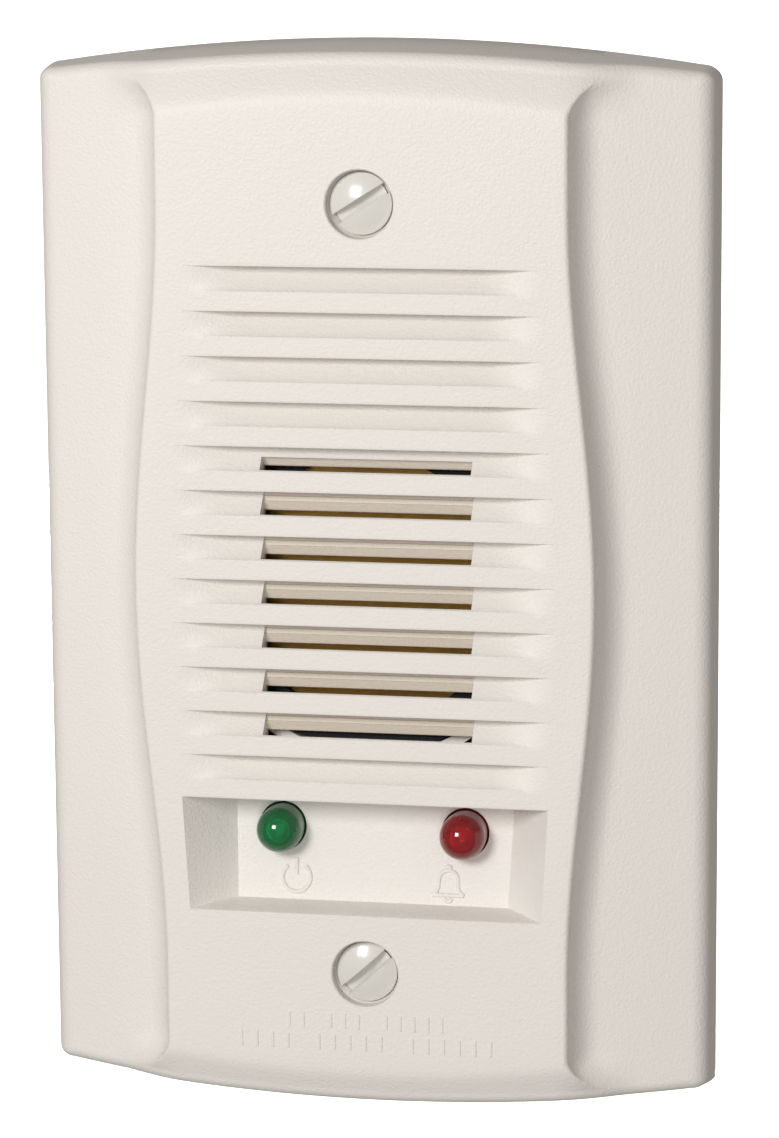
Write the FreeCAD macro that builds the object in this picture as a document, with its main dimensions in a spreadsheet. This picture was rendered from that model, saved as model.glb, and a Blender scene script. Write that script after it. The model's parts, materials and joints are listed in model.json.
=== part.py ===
"""Wall-plate alarm sounder with two indicator lamps, every size a cell of one sheet.

Frame: the origin is the centre of the plate's back face, which lies on the wall,
midway between the two mounting screws. +Z is up, the front faces -Y and the
electronics reach +Y into the wall box. Millimetres.
"""
import FreeCAD, Part
import math
import os
import re
import Sketcher

# Driving dimensions, one cell each: name, value, what it is.
SIZES = {
    # plate
    "plate_wide": (73.66, "width of the plate at the wall"),
    "plate_tall": (116.84, "height of the plate on its centre line"),
    "edge_sag": (3.0, "how far the corners lie below the top of the bowed edges"),
    "front_depth": (11.4, "raised panel's distance from the wall"),
    "side_draft": (7.0, "draft of the outer walls, degrees"),
    "wing_edge_depth": (4.6, "thickness of the plate at its side edge"),
    "wing_slope": (12.0, "backward slope of the side wings, degrees"),
    "edge_round": (2.3, "rounding of the long front edges"),
    "rim_wide": (2.4, "width of the rim that meets the wall"),
    "skin": (2.2, "plain wall of the moulding"),
    # raised panel
    "crest_half": (22.1, "half width of the panel at its ends"),
    "crest_bulge": (2.85, "how much further the panel's waist stands out"),
    "crest_run": (42.0, "half height over which the panel bulges"),
    "crest_round": (4.2, "hollow rounding at the foot of the panel"),
    "shoulder_start": (51.0, "height where the panel begins to fall away"),
    "shoulder_slope": (13.0, "slope of the panel's two shoulders, degrees"),
    # louvres
    "louvre_first": (35.0, "top edge of the highest groove"),
    "louvre_pitch": (4.81, "groove to groove"),
    "louvre_open": (2.5, "height of a groove"),
    "louvre_depth": (2.5, "depth of a groove at its top edge"),
    "louvre_half": (19.0, "half length of a groove at the panel's ends"),
    "louvre_bulge": (1.9, "extra half length of a groove at the waist"),
    "louvre_ramp": (6.8, "length of the slope at each end of a groove"),
    "louvre_wall": (4.2, "thickness of the front wall behind the grooves"),
    "slot_half": (11.4, "half width of the through slots"),
    "slot_slant": (1.2, "fall of a slat's top face from front to back"),
    "blade_thick": (0.8, "thickness of the rain blade behind a slot"),
    "blade_gap": (1.0, "air gap between a blade and the slat under it"),
    # lamp recess
    "recess_half": (19.7, "half width of the recess at the front"),
    "recess_floor_half": (14.9, "half width of the recess floor"),
    "recess_tall": (12.4, "height of the recess"),
    "recess_depth": (6.3, "depth of the recess at its top"),
    "recess_roof": (1.7, "thickness of the wall over the recess"),
    "recess_rise": (2.3, "how much shallower the recess is at its bottom"),
    "lamp_half": (10.1, "distance of each lamp from the centre line"),
    "lamp_drop": (4.15, "lamp axis below the recess's top edge"),
    "lamp_radius": (2.5, "radius of a lamp"),
    "lamp_stand": (7.7, "centre of a lamp's dome, from the wall"),
    "lamp_body": (6.1, "length of a lamp behind its dome's centre"),
    "lamp_flange_radius": (2.9, "radius of a lamp's foot"),
    "lamp_flange": (1.0, "thickness of a lamp's foot"),
    "lamp_play": (0.15, "clearance round a lamp in its hole"),
    "lead_radius": (0.25, "radius of a component lead"),
    "lead_half": (1.27, "half the distance between two lamp leads"),
    # mounting screws
    "screw_spacing": (83.34, "distance between the mounting screws"),
    "screw_radius": (1.75, "radius of a mounting screw's thread"),
    "screw_length": (25.4, "length of a mounting screw under its rim"),
    "screw_neck": (1.55, "radius of the unthreaded neck under a mounting screw's head"),
    "screw_thread": (-0.3, "where a mounting screw's thread begins, from the wall plane"),
    "screw_head_radius": (3.32, "radius of a mounting screw's head"),
    "screw_head_sink": (1.2, "screw head's rim below the panel's face"),
    "screw_crown": (0.9, "height of the head's oval crown"),
    "screw_cone": (1.9, "height of the head's countersink"),
    "screw_slot": (0.95, "width of the driver slot"),
    "screw_slot_depth": (1.15, "depth of the driver slot from the crown's top"),
    "screw_play": (0.33, "clearance round a screw head"),
    "screw_hole_play": (0.25, "clearance round a screw's thread"),
    "seat_gap": (0.1, "clearance under a screw head"),
    "boss_radius": (5.2, "radius of the bosses behind the mounting screws"),
    # sounder
    "sounder_radius": (18.0, "outer radius of the sounder's cup"),
    "sounder_wall": (1.5, "wall of the sounder's cup"),
    "sounder_play": (0.2, "clearance between cup and locating ring"),
    "ring_wall": (1.2, "wall of the locating ring"),
    "ring_tall": (2.7, "height of the locating ring"),
    "gasket_wide": (3.5, "width of the foam gasket"),
    "gasket_thick": (1.0, "thickness of the foam gasket"),
    "disc_margin": (0.5, "brass disc's edge inside the cup's"),
    "disc_thick": (0.3, "thickness of the brass disc"),
    "ceramic_margin": (5.5, "ceramic disc's edge inside the cup's"),
    "ceramic_thick": (0.25, "thickness of the ceramic disc"),
    "lead_offset": (3.8, "where a lead meets the brass disc, inside the cup's edge"),
    "lead_step": (4.0, "sideways step in a sounder lead"),
    "lead_hole_radius": (1.6, "radius of the holes for the sounder's leads"),
    "wire_radius": (0.55, "radius of a sounder lead"),
    # circuit board
    "board_front": (1.0, "front face of the board, behind the wall plane"),
    "board_thick": (1.6, "thickness of the board"),
    "board_wide": (46.0, "width of the board"),
    "board_tall": (68.0, "height of the board"),
    "post_x": (19.5, "board posts from the centre line"),
    "post_z": (30.0, "board posts above and below the middle"),
    "post_radius": (3.0, "radius of a board post"),
    "pilot_radius": (1.3, "radius of the pilot hole in a post"),
    "pilot_depth": (7.0, "depth of the pilot hole in a post"),
    "small_screw_radius": (1.25, "radius of a board screw's thread"),
    "small_head_radius": (2.4, "radius of a board screw's head"),
    "small_head": (1.5, "height of a board screw's head"),
    "small_slot": (0.7, "width of the slot in a small screw"),
    "small_play": (0.15, "clearance round a small screw in a plain hole"),
    # rear cover
    "back_depth": (16.0, "rear cover's back face, behind the wall plane"),
    "back_wall": (1.5, "wall of the rear cover"),
    "back_play": (0.3, "clearance between board and rear cover"),
    "back_foot": (3.4, "rear cover's front edge, in front of the wall plane"),
    "sleeve_wall": (0.8, "wall of the screw sleeves inside the rear cover"),
    "sleeve_floor": (1.6, "floor of a screw sleeve"),
    # terminal block
    "pole_pitch": (7.62, "terminal to terminal"),
    "barrier": (1.4, "thickness of the walls between terminals"),
    "block_low": (-20.0, "lower face of the terminal block"),
    "block_high": (-8.0, "upper face of the terminal block"),
    "block_base": (4.0, "height of the terminal block's floor"),
    "block_tall": (11.0, "height of the walls between terminals"),
    "contact_thick": (0.8, "thickness of a contact plate"),
    "contact_side": (0.5, "clearance at each side of a contact plate"),
    "clamp_gap": (0.1, "gap under a clamp plate that is screwed down"),
    "clamp_thick": (0.8, "thickness of a clamp plate"),
    "terminal_radius": (1.45, "radius of a terminal screw's thread"),
    "terminal_fit": (0.09, "radial running clearance of a terminal screw"),
    "terminal_head_radius": (2.5, "radius of a terminal screw's head"),
    "terminal_head": (1.8, "height of a terminal screw's head"),
    "terminal_reach": (4.2, "length of a terminal screw's thread"),
    "wire_channel": (7.0, "room for the wires under the terminal block"),
    # tone selector
    "pin_pitch": (2.54, "pin to pin"),
    "pin_half": (0.32, "half the side of a selector pin"),
    "pin_reach": (11.1, "tip of the selector pins, behind the wall plane"),
    "header_tall": (2.5, "height of the selector's base"),
    "header_x": (-10.2, "middle pin of the selector"),
    "header_z": (-5.6, "height of the selector pins"),
    "jumper_tall": (5.8, "height of the jumper"),
    "jumper_play": (0.06, "clearance round a pin in the jumper"),
}
LOUVRES = 12
FIRST_SLOT = 5
LAST_SLOT = 11
POLES = 4
PLANES = {"XY": "XY_Plane", "XZ": "XZ_Plane", "YZ": "YZ_Plane"}
TO_MINUS_Y = FreeCAD.Rotation(FreeCAD.Vector(1, 0, 0), 90)

doc = FreeCAD.newDocument("alarm_sounder")
nodes = []


def value(name):
    """A driving dimension as a number."""
    return float(SIZES[name][0])


def make_sheet():
    """Write the driving dimensions into the spreadsheet, one alias a row."""
    sheet = doc.addObject("Spreadsheet::Sheet", "Sizes")
    for row, (name, (size, note)) in enumerate(SIZES.items(), start=1):
        sheet.set(f"A{row}", note)
        sheet.set(f"B{row}", str(size))
        sheet.setAlias(f"B{row}", name)
    doc.recompute()


def formula(text):
    """Point each dimension's name in a formula at its cell."""
    return re.sub(r"[a-z][a-z_]+", lambda word: "Sizes." + word.group(0)
                  if word.group(0) in SIZES else word.group(0), str(text))


def bind(thing, **formulas):
    """Bind properties to formulas; double underscores stand for dots."""
    for prop, text in formulas.items():
        thing.setExpression(prop.replace("__", "."), formula(text))


def place(thing, x, y, z):
    bind(thing, Placement__Base__x=x, Placement__Base__y=y, Placement__Base__z=z)
    return thing


def block(name, x, y, z):
    """A box between pairs of formulas on each axis."""
    thing = doc.addObject("Part::Box", name)
    for prop, (low, high) in zip(("Length", "Width", "Height"), (x, y, z)):
        bind(thing, **{prop: f"({high}) - ({low})"})
    return place(thing, x[0], y[0], z[0])


def rod(name, radius, y, x="0", z="0"):
    """A cylinder along Y, from the formula y[0] to y[1]."""
    thing = doc.addObject("Part::Cylinder", name)
    thing.Placement = FreeCAD.Placement(FreeCAD.Vector(), TO_MINUS_Y)
    bind(thing, Radius=radius, Height=f"({y[1]}) - ({y[0]})")
    return place(thing, x, y[1], z)


def cone(name, radius_front, radius_back, y, x="0", z="0"):
    """A cone along Y whose two radii are given front first."""
    thing = doc.addObject("Part::Cone", name)
    thing.Placement = FreeCAD.Placement(FreeCAD.Vector(), TO_MINUS_Y)
    bind(thing, Radius1=radius_back, Radius2=radius_front, Height=f"({y[1]}) - ({y[0]})")
    return place(thing, x, y[1], z)


def ball(name, radius, x, y, z):
    thing = doc.addObject("Part::Sphere", name)
    bind(thing, Radius=radius)
    return place(thing, x, y, z)


def wedge(name, front_x, front_z, back_x, back_z, y):
    """A tapering block: one rectangle at y[0] and another at y[1]."""
    thing = doc.addObject("Part::Wedge", name)
    bind(thing, Xmin=front_x[0], Xmax=front_x[1], Zmin=front_z[0], Zmax=front_z[1],
         X2min=back_x[0], X2max=back_x[1], Z2min=back_z[0], Z2max=back_z[1],
         Ymin=y[0], Ymax=y[1])
    return thing


def join(name, things):
    """Fuse two or more solids."""
    thing = doc.addObject("Part::MultiFuse", name)
    thing.Shapes = things
    thing.Refine = True
    return thing


def cut(name, base, tools):
    """Take one or more tools away from a solid."""
    thing = doc.addObject("Part::Cut", name)
    thing.Base = base
    thing.Tool = tools[0] if len(tools) == 1 else join(name + "_tools", tools)
    thing.Refine = True
    return thing


def common(name, first, second):
    thing = doc.addObject("Part::Common", name)
    thing.Base = first
    thing.Tool = second
    return thing


def group(name, things):
    """Separate solids of one kind in a single node."""
    thing = doc.addObject("Part::Compound", name)
    thing.Links = things
    return thing


def node(name, thing):
    """Name a finished sub-part after the file that it is written to."""
    thing.Label = name
    nodes.append(thing)


def draw(body, plane, loops):
    """A sketch of closed loops whose corners are bound to formulas.

    A loop is a list of corners (across, up) or (across, up, arc): the side that
    leaves a corner with an arc has its centre at arc = (across, up, kept), and
    kept says which of the centre's two coordinates is held, 0 or 1.
    """
    sketch = body.newObject("Sketcher::SketchObject", body.Name + "_sketch")
    role = PLANES[plane]
    origin = next(item for item in body.Origin.OriginFeatures if item.Role == role)
    sketch.AttachmentSupport = [(origin, "")]
    sketch.MapMode = "FlatFace"
    for loop in loops:
        draw_loop(sketch, loop)
    return sketch


def draw_loop(sketch, loop):
    points = [FreeCAD.Vector(number(corner[0]), number(corner[1]), 0) for corner in loop]
    first = sketch.GeometryCount
    ends = []
    for index, corner in enumerate(loop):
        start, stop = points[index], points[(index + 1) % len(points)]
        if len(corner) == 2:
            sketch.addGeometry(Part.LineSegment(start, stop), False)
            ends.append((1, 2))
            continue
        centre = FreeCAD.Vector(number(corner[2][0]), number(corner[2][1]), 0)
        ends.append(draw_arc(sketch, start, stop, centre))
    for index, corner in enumerate(loop):
        here, after = first + index, first + (index + 1) % len(loop)
        sketch.addConstraint(Sketcher.Constraint(
            "Coincident", here, ends[index][1], after, ends[(index + 1) % len(loop)][0]))
        hold(sketch, here, ends[index][0], 0, corner[0])
        hold(sketch, here, ends[index][0], 1, corner[1])
        if len(corner) == 3:
            kept = corner[2][2]
            hold(sketch, here, 3, kept, corner[2][kept])


def draw_arc(sketch, start, stop, centre):
    """The shorter arc about a centre; returns which of its ends is which."""
    circle = Part.Circle(centre, FreeCAD.Vector(0, 0, 1), (start - centre).Length)
    turn = (start - centre).cross(stop - centre).z
    one, two = (start, stop) if turn > 0 else (stop, start)
    arc = Part.ArcOfCircle(circle, circle.parameter(one), circle.parameter(two))
    sketch.addGeometry(arc, False)
    return (1, 2) if turn > 0 else (2, 1)


def hold(sketch, geometry, point, axis, text):
    """Hold one coordinate of a sketch point at a formula."""
    kind = ("DistanceX", "DistanceY")[axis]
    index = sketch.addConstraint(
        Sketcher.Constraint(kind, geometry, point, number(text)))
    sketch.setExpression(f"Constraints[{index}]", formula(text))


def number(text):
    """What a formula comes to, worked out by the document itself."""
    return float(doc.getObject("Sizes").evalExpression(formula(text)))


def prism(name, plane, loops, length, both_ways=True, taper=None):
    """A body padded from a bound sketch, about its plane or to one side of it."""
    body = doc.addObject("PartDesign::Body", name)
    pad = body.newObject("PartDesign::Pad", name + "_pad")
    pad.Profile = draw(body, plane, loops)
    pad.Midplane = both_ways
    bind(pad, Length=length)
    if taper is not None:
        bind(pad, TaperAngle=f"-({taper})")
    body.Tip = pad
    return body


def turned(name, loop, x="0", z="0"):
    """A body turned about an axis along Y from a half section (radius, y)."""
    body = doc.addObject("PartDesign::Body", name)
    spin = body.newObject("PartDesign::Revolution", name + "_spin")
    spin.Profile = draw(body, "XY", [loop])
    axis = next(item for item in body.Origin.OriginFeatures if item.Role == "Y_Axis")
    spin.ReferenceAxis = (axis, [""])
    spin.Angle = 360
    body.Tip = spin
    return place(body, x, "0", z)


def edges_where(shape, test):
    """Numbers of the edges whose middle point passes a test."""
    found = []
    for index, edge in enumerate(shape.Edges, start=1):
        middle = edge.valueAt((edge.FirstParameter + edge.LastParameter) / 2)
        if test(middle, edge):
            found.append(index)
    return found


def rounded(name, base, picks):
    """A Part::Fillet of edges picked by tests, each with its own radius."""
    doc.recompute()
    thing = doc.addObject("Part::Fillet", name)
    thing.Base = base
    thing.Edges = [(index, radius, radius) for test, radius in picks
                   for index in edges_where(base.Shape, test)]
    return thing


# ---------------------------------------------------------------- front cover
FRONT = "-front_depth"
WING = "(wing_edge_depth + (plate_wide/2 - {x})*tan(wing_slope))"
BEYOND = "plate_tall"


def wing_depth(across):
    """Distance of a wing's face from the wall, as a formula."""
    return WING.format(x=across)


def plate_blank():
    """The plate's outline, straight at the sides and bowed at top and bottom."""
    bow = "((plate_wide/2)^2/(2*edge_sag) + edge_sag/2)"
    corner = "plate_tall/2 - edge_sag"
    loop = [("-plate_wide/2", f"-({corner})", ("0", f"{bow} - plate_tall/2", 1)),
            ("plate_wide/2", f"-({corner})"),
            ("plate_wide/2", corner, ("0", f"plate_tall/2 - {bow}", 1)),
            ("-plate_wide/2", corner)]
    return prism("plate_blank", "XZ", [loop], "front_depth", False, "side_draft")


def raised_panel():
    """The panel between the crests, with two S-shaped sides made of equal arcs."""
    bend = "(((crest_run/2)^2 + (crest_bulge/2)^2)/crest_bulge)"
    half, mid = "crest_half", "(crest_half + crest_bulge/2)"
    waist = f"(crest_half + crest_bulge - {bend})"

    def side(sign, way):
        hollow = f"{sign}({half} + {bend})"
        rise = [(half, f"-({BEYOND})"), (half, "-crest_run"), (mid, "-crest_run/2"),
                (mid, "crest_run/2"), (half, "crest_run"), (half, BEYOND)]
        arcs = {1: (hollow, "-crest_run", 1), 2: (f"{sign}({waist})", "0", 0),
                3: (hollow, "crest_run", 1)}
        corners = [(f"{sign}({across})", up) for across, up in rise]
        loop = [corner + ((arcs[index],) if index in arcs else ())
                for index, corner in enumerate(corners)]
        if way > 0:
            return loop
        turned_round = corners[::-1]
        last = len(corners) - 1
        return [corner + ((arcs[last - 1 - index],) if last - 1 - index in arcs else ())
                for index, corner in enumerate(turned_round)]

    loop = side("", 1) + side("-", -1)
    return prism("raised_panel", "XZ", [loop], "front_depth", False)


def wing_cutters():
    """Everything in front of the two sloping wings."""
    far = "plate_wide"
    loops = []
    for sign in ("", "-"):
        loops.append([(f"{sign}(crest_half/2)", f"-{wing_depth('crest_half/2')}"),
                      (f"{sign}({far})", f"-{wing_depth(far)}"),
                      (f"{sign}({far})", f"2*({FRONT})"),
                      (f"{sign}(crest_half/2)", f"2*({FRONT})")])
    return prism("wing_cutters", "XY", loops, f"2*{BEYOND}")


def shoulder_cutters():
    """The slanting cuts that take the panel down towards both ends."""
    fall = f"({BEYOND} - shoulder_start)*tan(shoulder_slope)"
    loops = []
    for sign in ("", "-"):
        loops.append([(FRONT, f"{sign}(shoulder_start)"),
                      (f"{FRONT} + {fall}", f"{sign}({BEYOND})"),
                      (f"2*({FRONT})", f"{sign}({BEYOND})"),
                      (f"2*({FRONT})", f"{sign}(shoulder_start)")])
    return prism("shoulder_cutters", "YZ", loops, "2*plate_wide")


def outer_form():
    """Wings, panel and shoulders, with the hollow roundings at the panel's foot."""
    blank = plate_blank()
    wings = cut("wings", blank, [wing_cutters()])
    whole = join("plate_form", [wings, common("panel", blank, raised_panel())])
    slope = number("tan(wing_slope)")
    half_wide, edge_deep = value("plate_wide") / 2, value("wing_edge_depth")
    wall = value("front_depth") - edge_deep - (half_wide - value("crest_half")) * slope
    foot = number("tan(45 - wing_slope/2)")

    def on_wing(point):
        return abs(-point.y - edge_deep - (half_wide - abs(point.x)) * slope) < 0.01

    def at_foot(point, edge):
        return on_wing(point) and abs(point.x) < half_wide - 8 and edge.Length > 3 \
            and abs(point.z) < value("plate_tall") / 2 - value("edge_sag") - 1

    def at_side(point, edge):
        return on_wing(point) and abs(point.x) > half_wide - 3 \
            and edge.Length > value("plate_tall") / 2

    hollow = min(value("crest_round"), 0.95 * wall / foot)
    smooth = rounded("plate_rounded", whole, [(at_foot, hollow)])
    smooth = rounded("plate_edged", smooth, [(at_side, value("edge_round"))])
    return cut("plate_shouldered", smooth, [shoulder_cutters()])


def louvre_top(index):
    """Height of a groove's top edge, counted from 1 at the top."""
    return f"(louvre_first - {index - 1}*louvre_pitch)"


def grooves():
    """Twelve sloping grooves, longest at the waist, with a ramp at each end."""
    cutters = []
    for index in range(1, LOUVRES + 1):
        top = louvre_top(index)
        middle = f"({top} - louvre_open/2)"
        reach = f"(louvre_half + louvre_bulge*(0.5 + 0.5*cos(180*{middle}/crest_run)))"
        deep = f"({reach} - louvre_ramp)"
        cutters.append(wedge(
            f"groove_{index}", (f"-{reach}", reach), (f"{top} - louvre_open", top),
            (f"-{deep}", deep), (top, top), (FRONT, f"{FRONT} + louvre_depth")))
    return cutters


def slots():
    """Through slots behind the middle grooves; the first is open in its lower half."""
    loops = []
    for index in range(FIRST_SLOT, LAST_SLOT + 1):
        top = louvre_top(index)
        low = f"({top} - louvre_open)"
        high = f"({top} - louvre_open/2)" if index == FIRST_SLOT else top
        loops.append([(f"{FRONT} - 1", high), (f"{FRONT} + skin + 0.5", high),
                      (f"{FRONT} + skin + 0.5", f"{low} - slot_slant"),
                      (FRONT, low), (f"{FRONT} - 1", low)])
    return prism("slots", "YZ", loops, "2*slot_half")


def slot_window():
    """The pocket behind the slots that thins the wall and holds the blades."""
    top = f"{louvre_top(FIRST_SLOT)} - louvre_open/2"
    low = f"{louvre_top(LAST_SLOT)} - louvre_open - slot_slant"
    return block("slot_window", ("-slot_half", "slot_half"),
                 (f"{FRONT} + skin", f"{FRONT} + louvre_wall + 0.5"), (low, top))


def blades():
    """One blade behind each slot, with a small step, down to the air gap."""
    loops = []
    near = f"{FRONT} + skin"
    for index in range(FIRST_SLOT, LAST_SLOT + 1):
        top = louvre_top(index)
        low = f"({top} - louvre_open - slot_slant + blade_gap)"
        start = f"({top} - louvre_open/2 + 0.4)" if index == FIRST_SLOT else f"({top} + 0.5)"
        step = f"(({top} + {low})/2 - 0.2)"
        loops.append([(f"{near} - 0.3", start), (f"{near} + 0.5", step), (f"{near} + 0.15", step),
                      (f"{near} + 0.35", low), (f"{near} + 0.35 + blade_thick", low),
                      (f"{near} + blade_thick", start)])
    return prism("blades", "YZ", loops, "2*slot_half + 1")


RING_REACH = "(sounder_radius + sounder_play + ring_wall)"
RECESS_TOP = f"min(louvre_first - {LOUVRES}*louvre_pitch; -{RING_REACH} - recess_roof)"
RECESS_LOW = f"({RECESS_TOP} - recess_tall)"
LAMP_Z = f"({RECESS_TOP} - lamp_drop)"


def recess():
    """The lamp recess, with slanting ends."""
    return wedge("recess", ("-recess_half", "recess_half"), (RECESS_LOW, RECESS_TOP),
                 ("-recess_floor_half", "recess_floor_half"), (RECESS_LOW, RECESS_TOP),
                 (FRONT, f"{FRONT} + recess_depth"))


def recess_ramp():
    """The recess floor, which rises towards the bottom."""
    floor = f"{FRONT} + recess_depth"
    loop = [(f"{floor} + 0.5", RECESS_TOP), (floor, RECESS_TOP),
            (f"{floor} - recess_rise", RECESS_LOW), (f"{floor} + 0.5", RECESS_LOW)]
    lean = "(recess_half - recess_floor_half)*recess_rise/recess_depth"
    return prism("recess_ramp", "YZ", [loop], f"2*(recess_floor_half + {lean}) + 0.4")


def cavities():
    """The hollow back, in three steps that follow the front."""
    high = "(plate_tall/2 - edge_sag - rim_wide - 0.5)"
    rim = "(plate_wide/2 - rim_wide)"
    return [
        block("cavity_edge", (f"-{rim}", rim), ("-(wing_edge_depth - skin)", "1"),
              (f"-{high}", high)),
        block("cavity_wing", ("-(crest_half + 5.9)", "crest_half + 5.9"),
              (f"-({wing_depth('(crest_half + 5.9)')} - skin)", "1"),
              ("-shoulder_start", "shoulder_start")),
        block("cavity_panel", ("-(crest_half - 2.5)", "crest_half - 2.5"),
              (f"{FRONT} + louvre_wall", "1"),
              ("-(shoulder_start - 2.5)", "shoulder_start - 2.5")),
    ]


def recess_housing():
    """The inside of the lamp recess, which stands out into the hollow back."""
    return block("recess_housing", ("-(crest_half - 2.3)", "crest_half - 2.3"),
                 (f"{FRONT} + louvre_wall - 0.5", "-back_foot"),
                 (f"{RECESS_LOW} - skin", f"{RECESS_TOP} + recess_roof"))


def locating_ring():
    """The ring that centres the sounder behind the louvres."""
    near = f"{FRONT} + louvre_wall"
    inner = "sounder_radius + sounder_play"
    ring = rod("ring_outer", f"{inner} + ring_wall", (f"{near} - 0.5", f"{near} + ring_tall"))
    bore = rod("ring_inner", inner, (near, f"{near} + ring_tall + 1"))
    return cut("locating_ring", ring, [bore])


def corners():
    """The four board posts, as pairs of formulas."""
    return [(f"{a}post_x", f"{b}post_z") for a in ("-", "") for b in ("-", "")]


def front_cover():
    """The moulded plate with its louvres, lamp recess, bosses and board posts."""
    near = f"{FRONT} + louvre_wall"
    hollow = cut("plate_hollow", outer_form(), cavities())
    posts = [rod(f"post_{i}", "post_radius", (f"{near} - 0.5", "board_front"), x, z)
             for i, (x, z) in enumerate(corners())]
    bosses = [rod(f"boss_{i}", "boss_radius", (f"{near} - 0.5", "-0.5"), "0", z)
              for i, z in enumerate(("screw_spacing/2", "-screw_spacing/2"))]
    solid = join("cover_solid", [hollow, recess_housing(), locating_ring()] + posts + bosses)
    rim = f"{FRONT} + screw_head_sink"
    under = f"{rim} + seat_gap"
    cutters = grooves() + [slots(), slot_window(), recess()]
    for i, z in enumerate(("screw_spacing/2", "-screw_spacing/2")):
        cutters.append(rod(f"sink_{i}", "screw_head_radius + screw_play",
                           (f"{FRONT} - 1", under), "0", z))
        cutters.append(cone(f"seat_{i}", "screw_head_radius + screw_play",
                            "screw_radius + screw_hole_play",
                            (under, f"{under} + screw_cone + seat_gap"), "0", z))
        cutters.append(rod(f"hole_{i}", "screw_radius + screw_hole_play", (rim, "1"), "0", z))
    for i, (x, z) in enumerate(corners()):
        cutters.append(rod(f"pilot_{i}", "pilot_radius",
                           ("board_front - pilot_depth", "board_front + 1"), x, z))
    floored = join("cover_floored", [cut("cover_cut", solid, cutters), recess_ramp(), blades()])
    lamp_holes = [rod(f"lamp_hole_{i}", "lamp_radius + lamp_play",
                      (f"{FRONT} + 1", "0"), f"{sign}lamp_half", LAMP_Z)
                  for i, sign in enumerate(("-", ""))]
    node("front_cover", cut("cover", floored, lamp_holes))


# ---------------------------------------------------------------- fasteners
def mounting_screw(name, sign, angle):
    """An oval-head slotted screw; angle is the slot's tilt seen from the front."""
    z = f"{sign}screw_spacing/2"
    rim = f"({FRONT} + screw_head_sink)"
    crown = "(screw_head_radius^2/(2*screw_crown) + screw_crown/2)"
    shape = turned(name + "_shape", [
        ("0", f"{rim} + screw_length"), ("screw_radius - 0.4", f"{rim} + screw_length"),
        ("screw_radius", f"{rim} + screw_length - 0.6"),
        ("screw_radius", "screw_thread"), ("screw_neck", "screw_thread - 0.2"),
        ("screw_neck", f"{rim} + screw_cone"), ("screw_head_radius", f"{rim} + 0.15"),
        ("screw_head_radius", rim, ("0", f"{rim} - screw_crown + {crown}", 1)),
        ("0", f"{rim} - screw_crown")], "0", z)
    slot = doc.addObject("Part::Box", name + "_slot")
    bind(slot, Length="3*screw_head_radius", Height="screw_slot",
         Width="screw_slot_depth + 1")
    turn = FreeCAD.Rotation(FreeCAD.Vector(0, 1, 0), -angle)
    slot.Placement = FreeCAD.Placement(FreeCAD.Vector(), turn)
    tilt = f"cos({angle})", f"sin({angle})"
    place(slot, f"-1.5*screw_head_radius*{tilt[0]} + screw_slot/2*{tilt[1]}",
          f"{rim} - screw_crown - 1",
          f"{z} - 1.5*screw_head_radius*{tilt[1]} - screw_slot/2*{tilt[0]}")
    node(name, cut(name, shape, [slot]))


def small_screw(name, under, tip, x, z):
    """A slotted board screw whose head rests at the formula under."""
    head = rod(name + "_head", "small_head_radius", (under, f"{under} + small_head"), x, z)
    shank = rod(name + "_shank", "small_screw_radius", (tip, under), x, z)
    slot = block(name + "_slot", (f"{x} - 3", f"{x} + 3"),
                 (f"{under} + small_head - 0.7", f"{under} + small_head + 1"),
                 (f"{z} - small_slot/2", f"{z} + small_slot/2"))
    return cut(name, join(name + "_blank", [head, shank]), [slot])


BOARD_BACK = "(board_front + board_thick)"
SCREW_TIP = "(board_front - pilot_depth + 1)"
SHORT = [("-post_x", "post_z"), ("post_x", "-post_z")]
LONG = [("post_x", "post_z"), ("-post_x", "-post_z")]


def board_screws():
    screws = [small_screw(f"board_screw_{i}", BOARD_BACK, SCREW_TIP, x, z)
              for i, (x, z) in enumerate(SHORT)]
    node("circuit_board_screws", group("circuit_board_screws", screws))


def rear_cover_screws():
    seat = f"({BOARD_BACK} + sleeve_floor)"
    screws = [small_screw(f"cover_screw_{i}", seat, SCREW_TIP, x, z)
              for i, (x, z) in enumerate(LONG)]
    node("rear_cover_screws", group("rear_cover_screws", screws))


# ---------------------------------------------------------------- lamps
def lamp(name, sign):
    """A domed lamp with a foot, its two leads and its spacer."""
    x = f"{sign}lamp_half"
    back = "(lamp_body - lamp_stand)"
    dome = ball(name + "_dome", "lamp_radius", x, "-lamp_stand", LAMP_Z)
    barrel = rod(name + "_barrel", "lamp_radius", ("-lamp_stand", back), x, LAMP_Z)
    foot = rod(name + "_foot", "lamp_flange_radius", (f"{back} - lamp_flange", back), x, LAMP_Z)
    node(name, join(name, [dome, barrel, foot]))
    leads = [rod(f"{name}_lead_{i}", "lead_radius", (back, f"{BOARD_BACK} + 0.8"),
                 f"{x} {side} lead_half", LAMP_Z) for i, side in enumerate("-+")]
    node(name + "_leads", group(name + "_leads", leads))
    sleeve = rod(name + "_sleeve", "lamp_radius", (back, "board_front"), x, LAMP_Z)
    ways = [rod(f"{name}_way_{i}", "lead_radius + 0.15", (back, "board_front"),
                f"{x} {side} lead_half", LAMP_Z) for i, side in enumerate("-+")]
    node(name + "_spacer", cut(name + "_spacer", sleeve, ways))


# ---------------------------------------------------------------- sounder
SEAT = f"({FRONT} + louvre_wall)"
DISC = f"({SEAT} + gasket_thick)"
CUP = f"({DISC} + disc_thick)"
WIRES = (("positive", "lead_step"), ("negative", "lead_offset - sounder_radius"))


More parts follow.
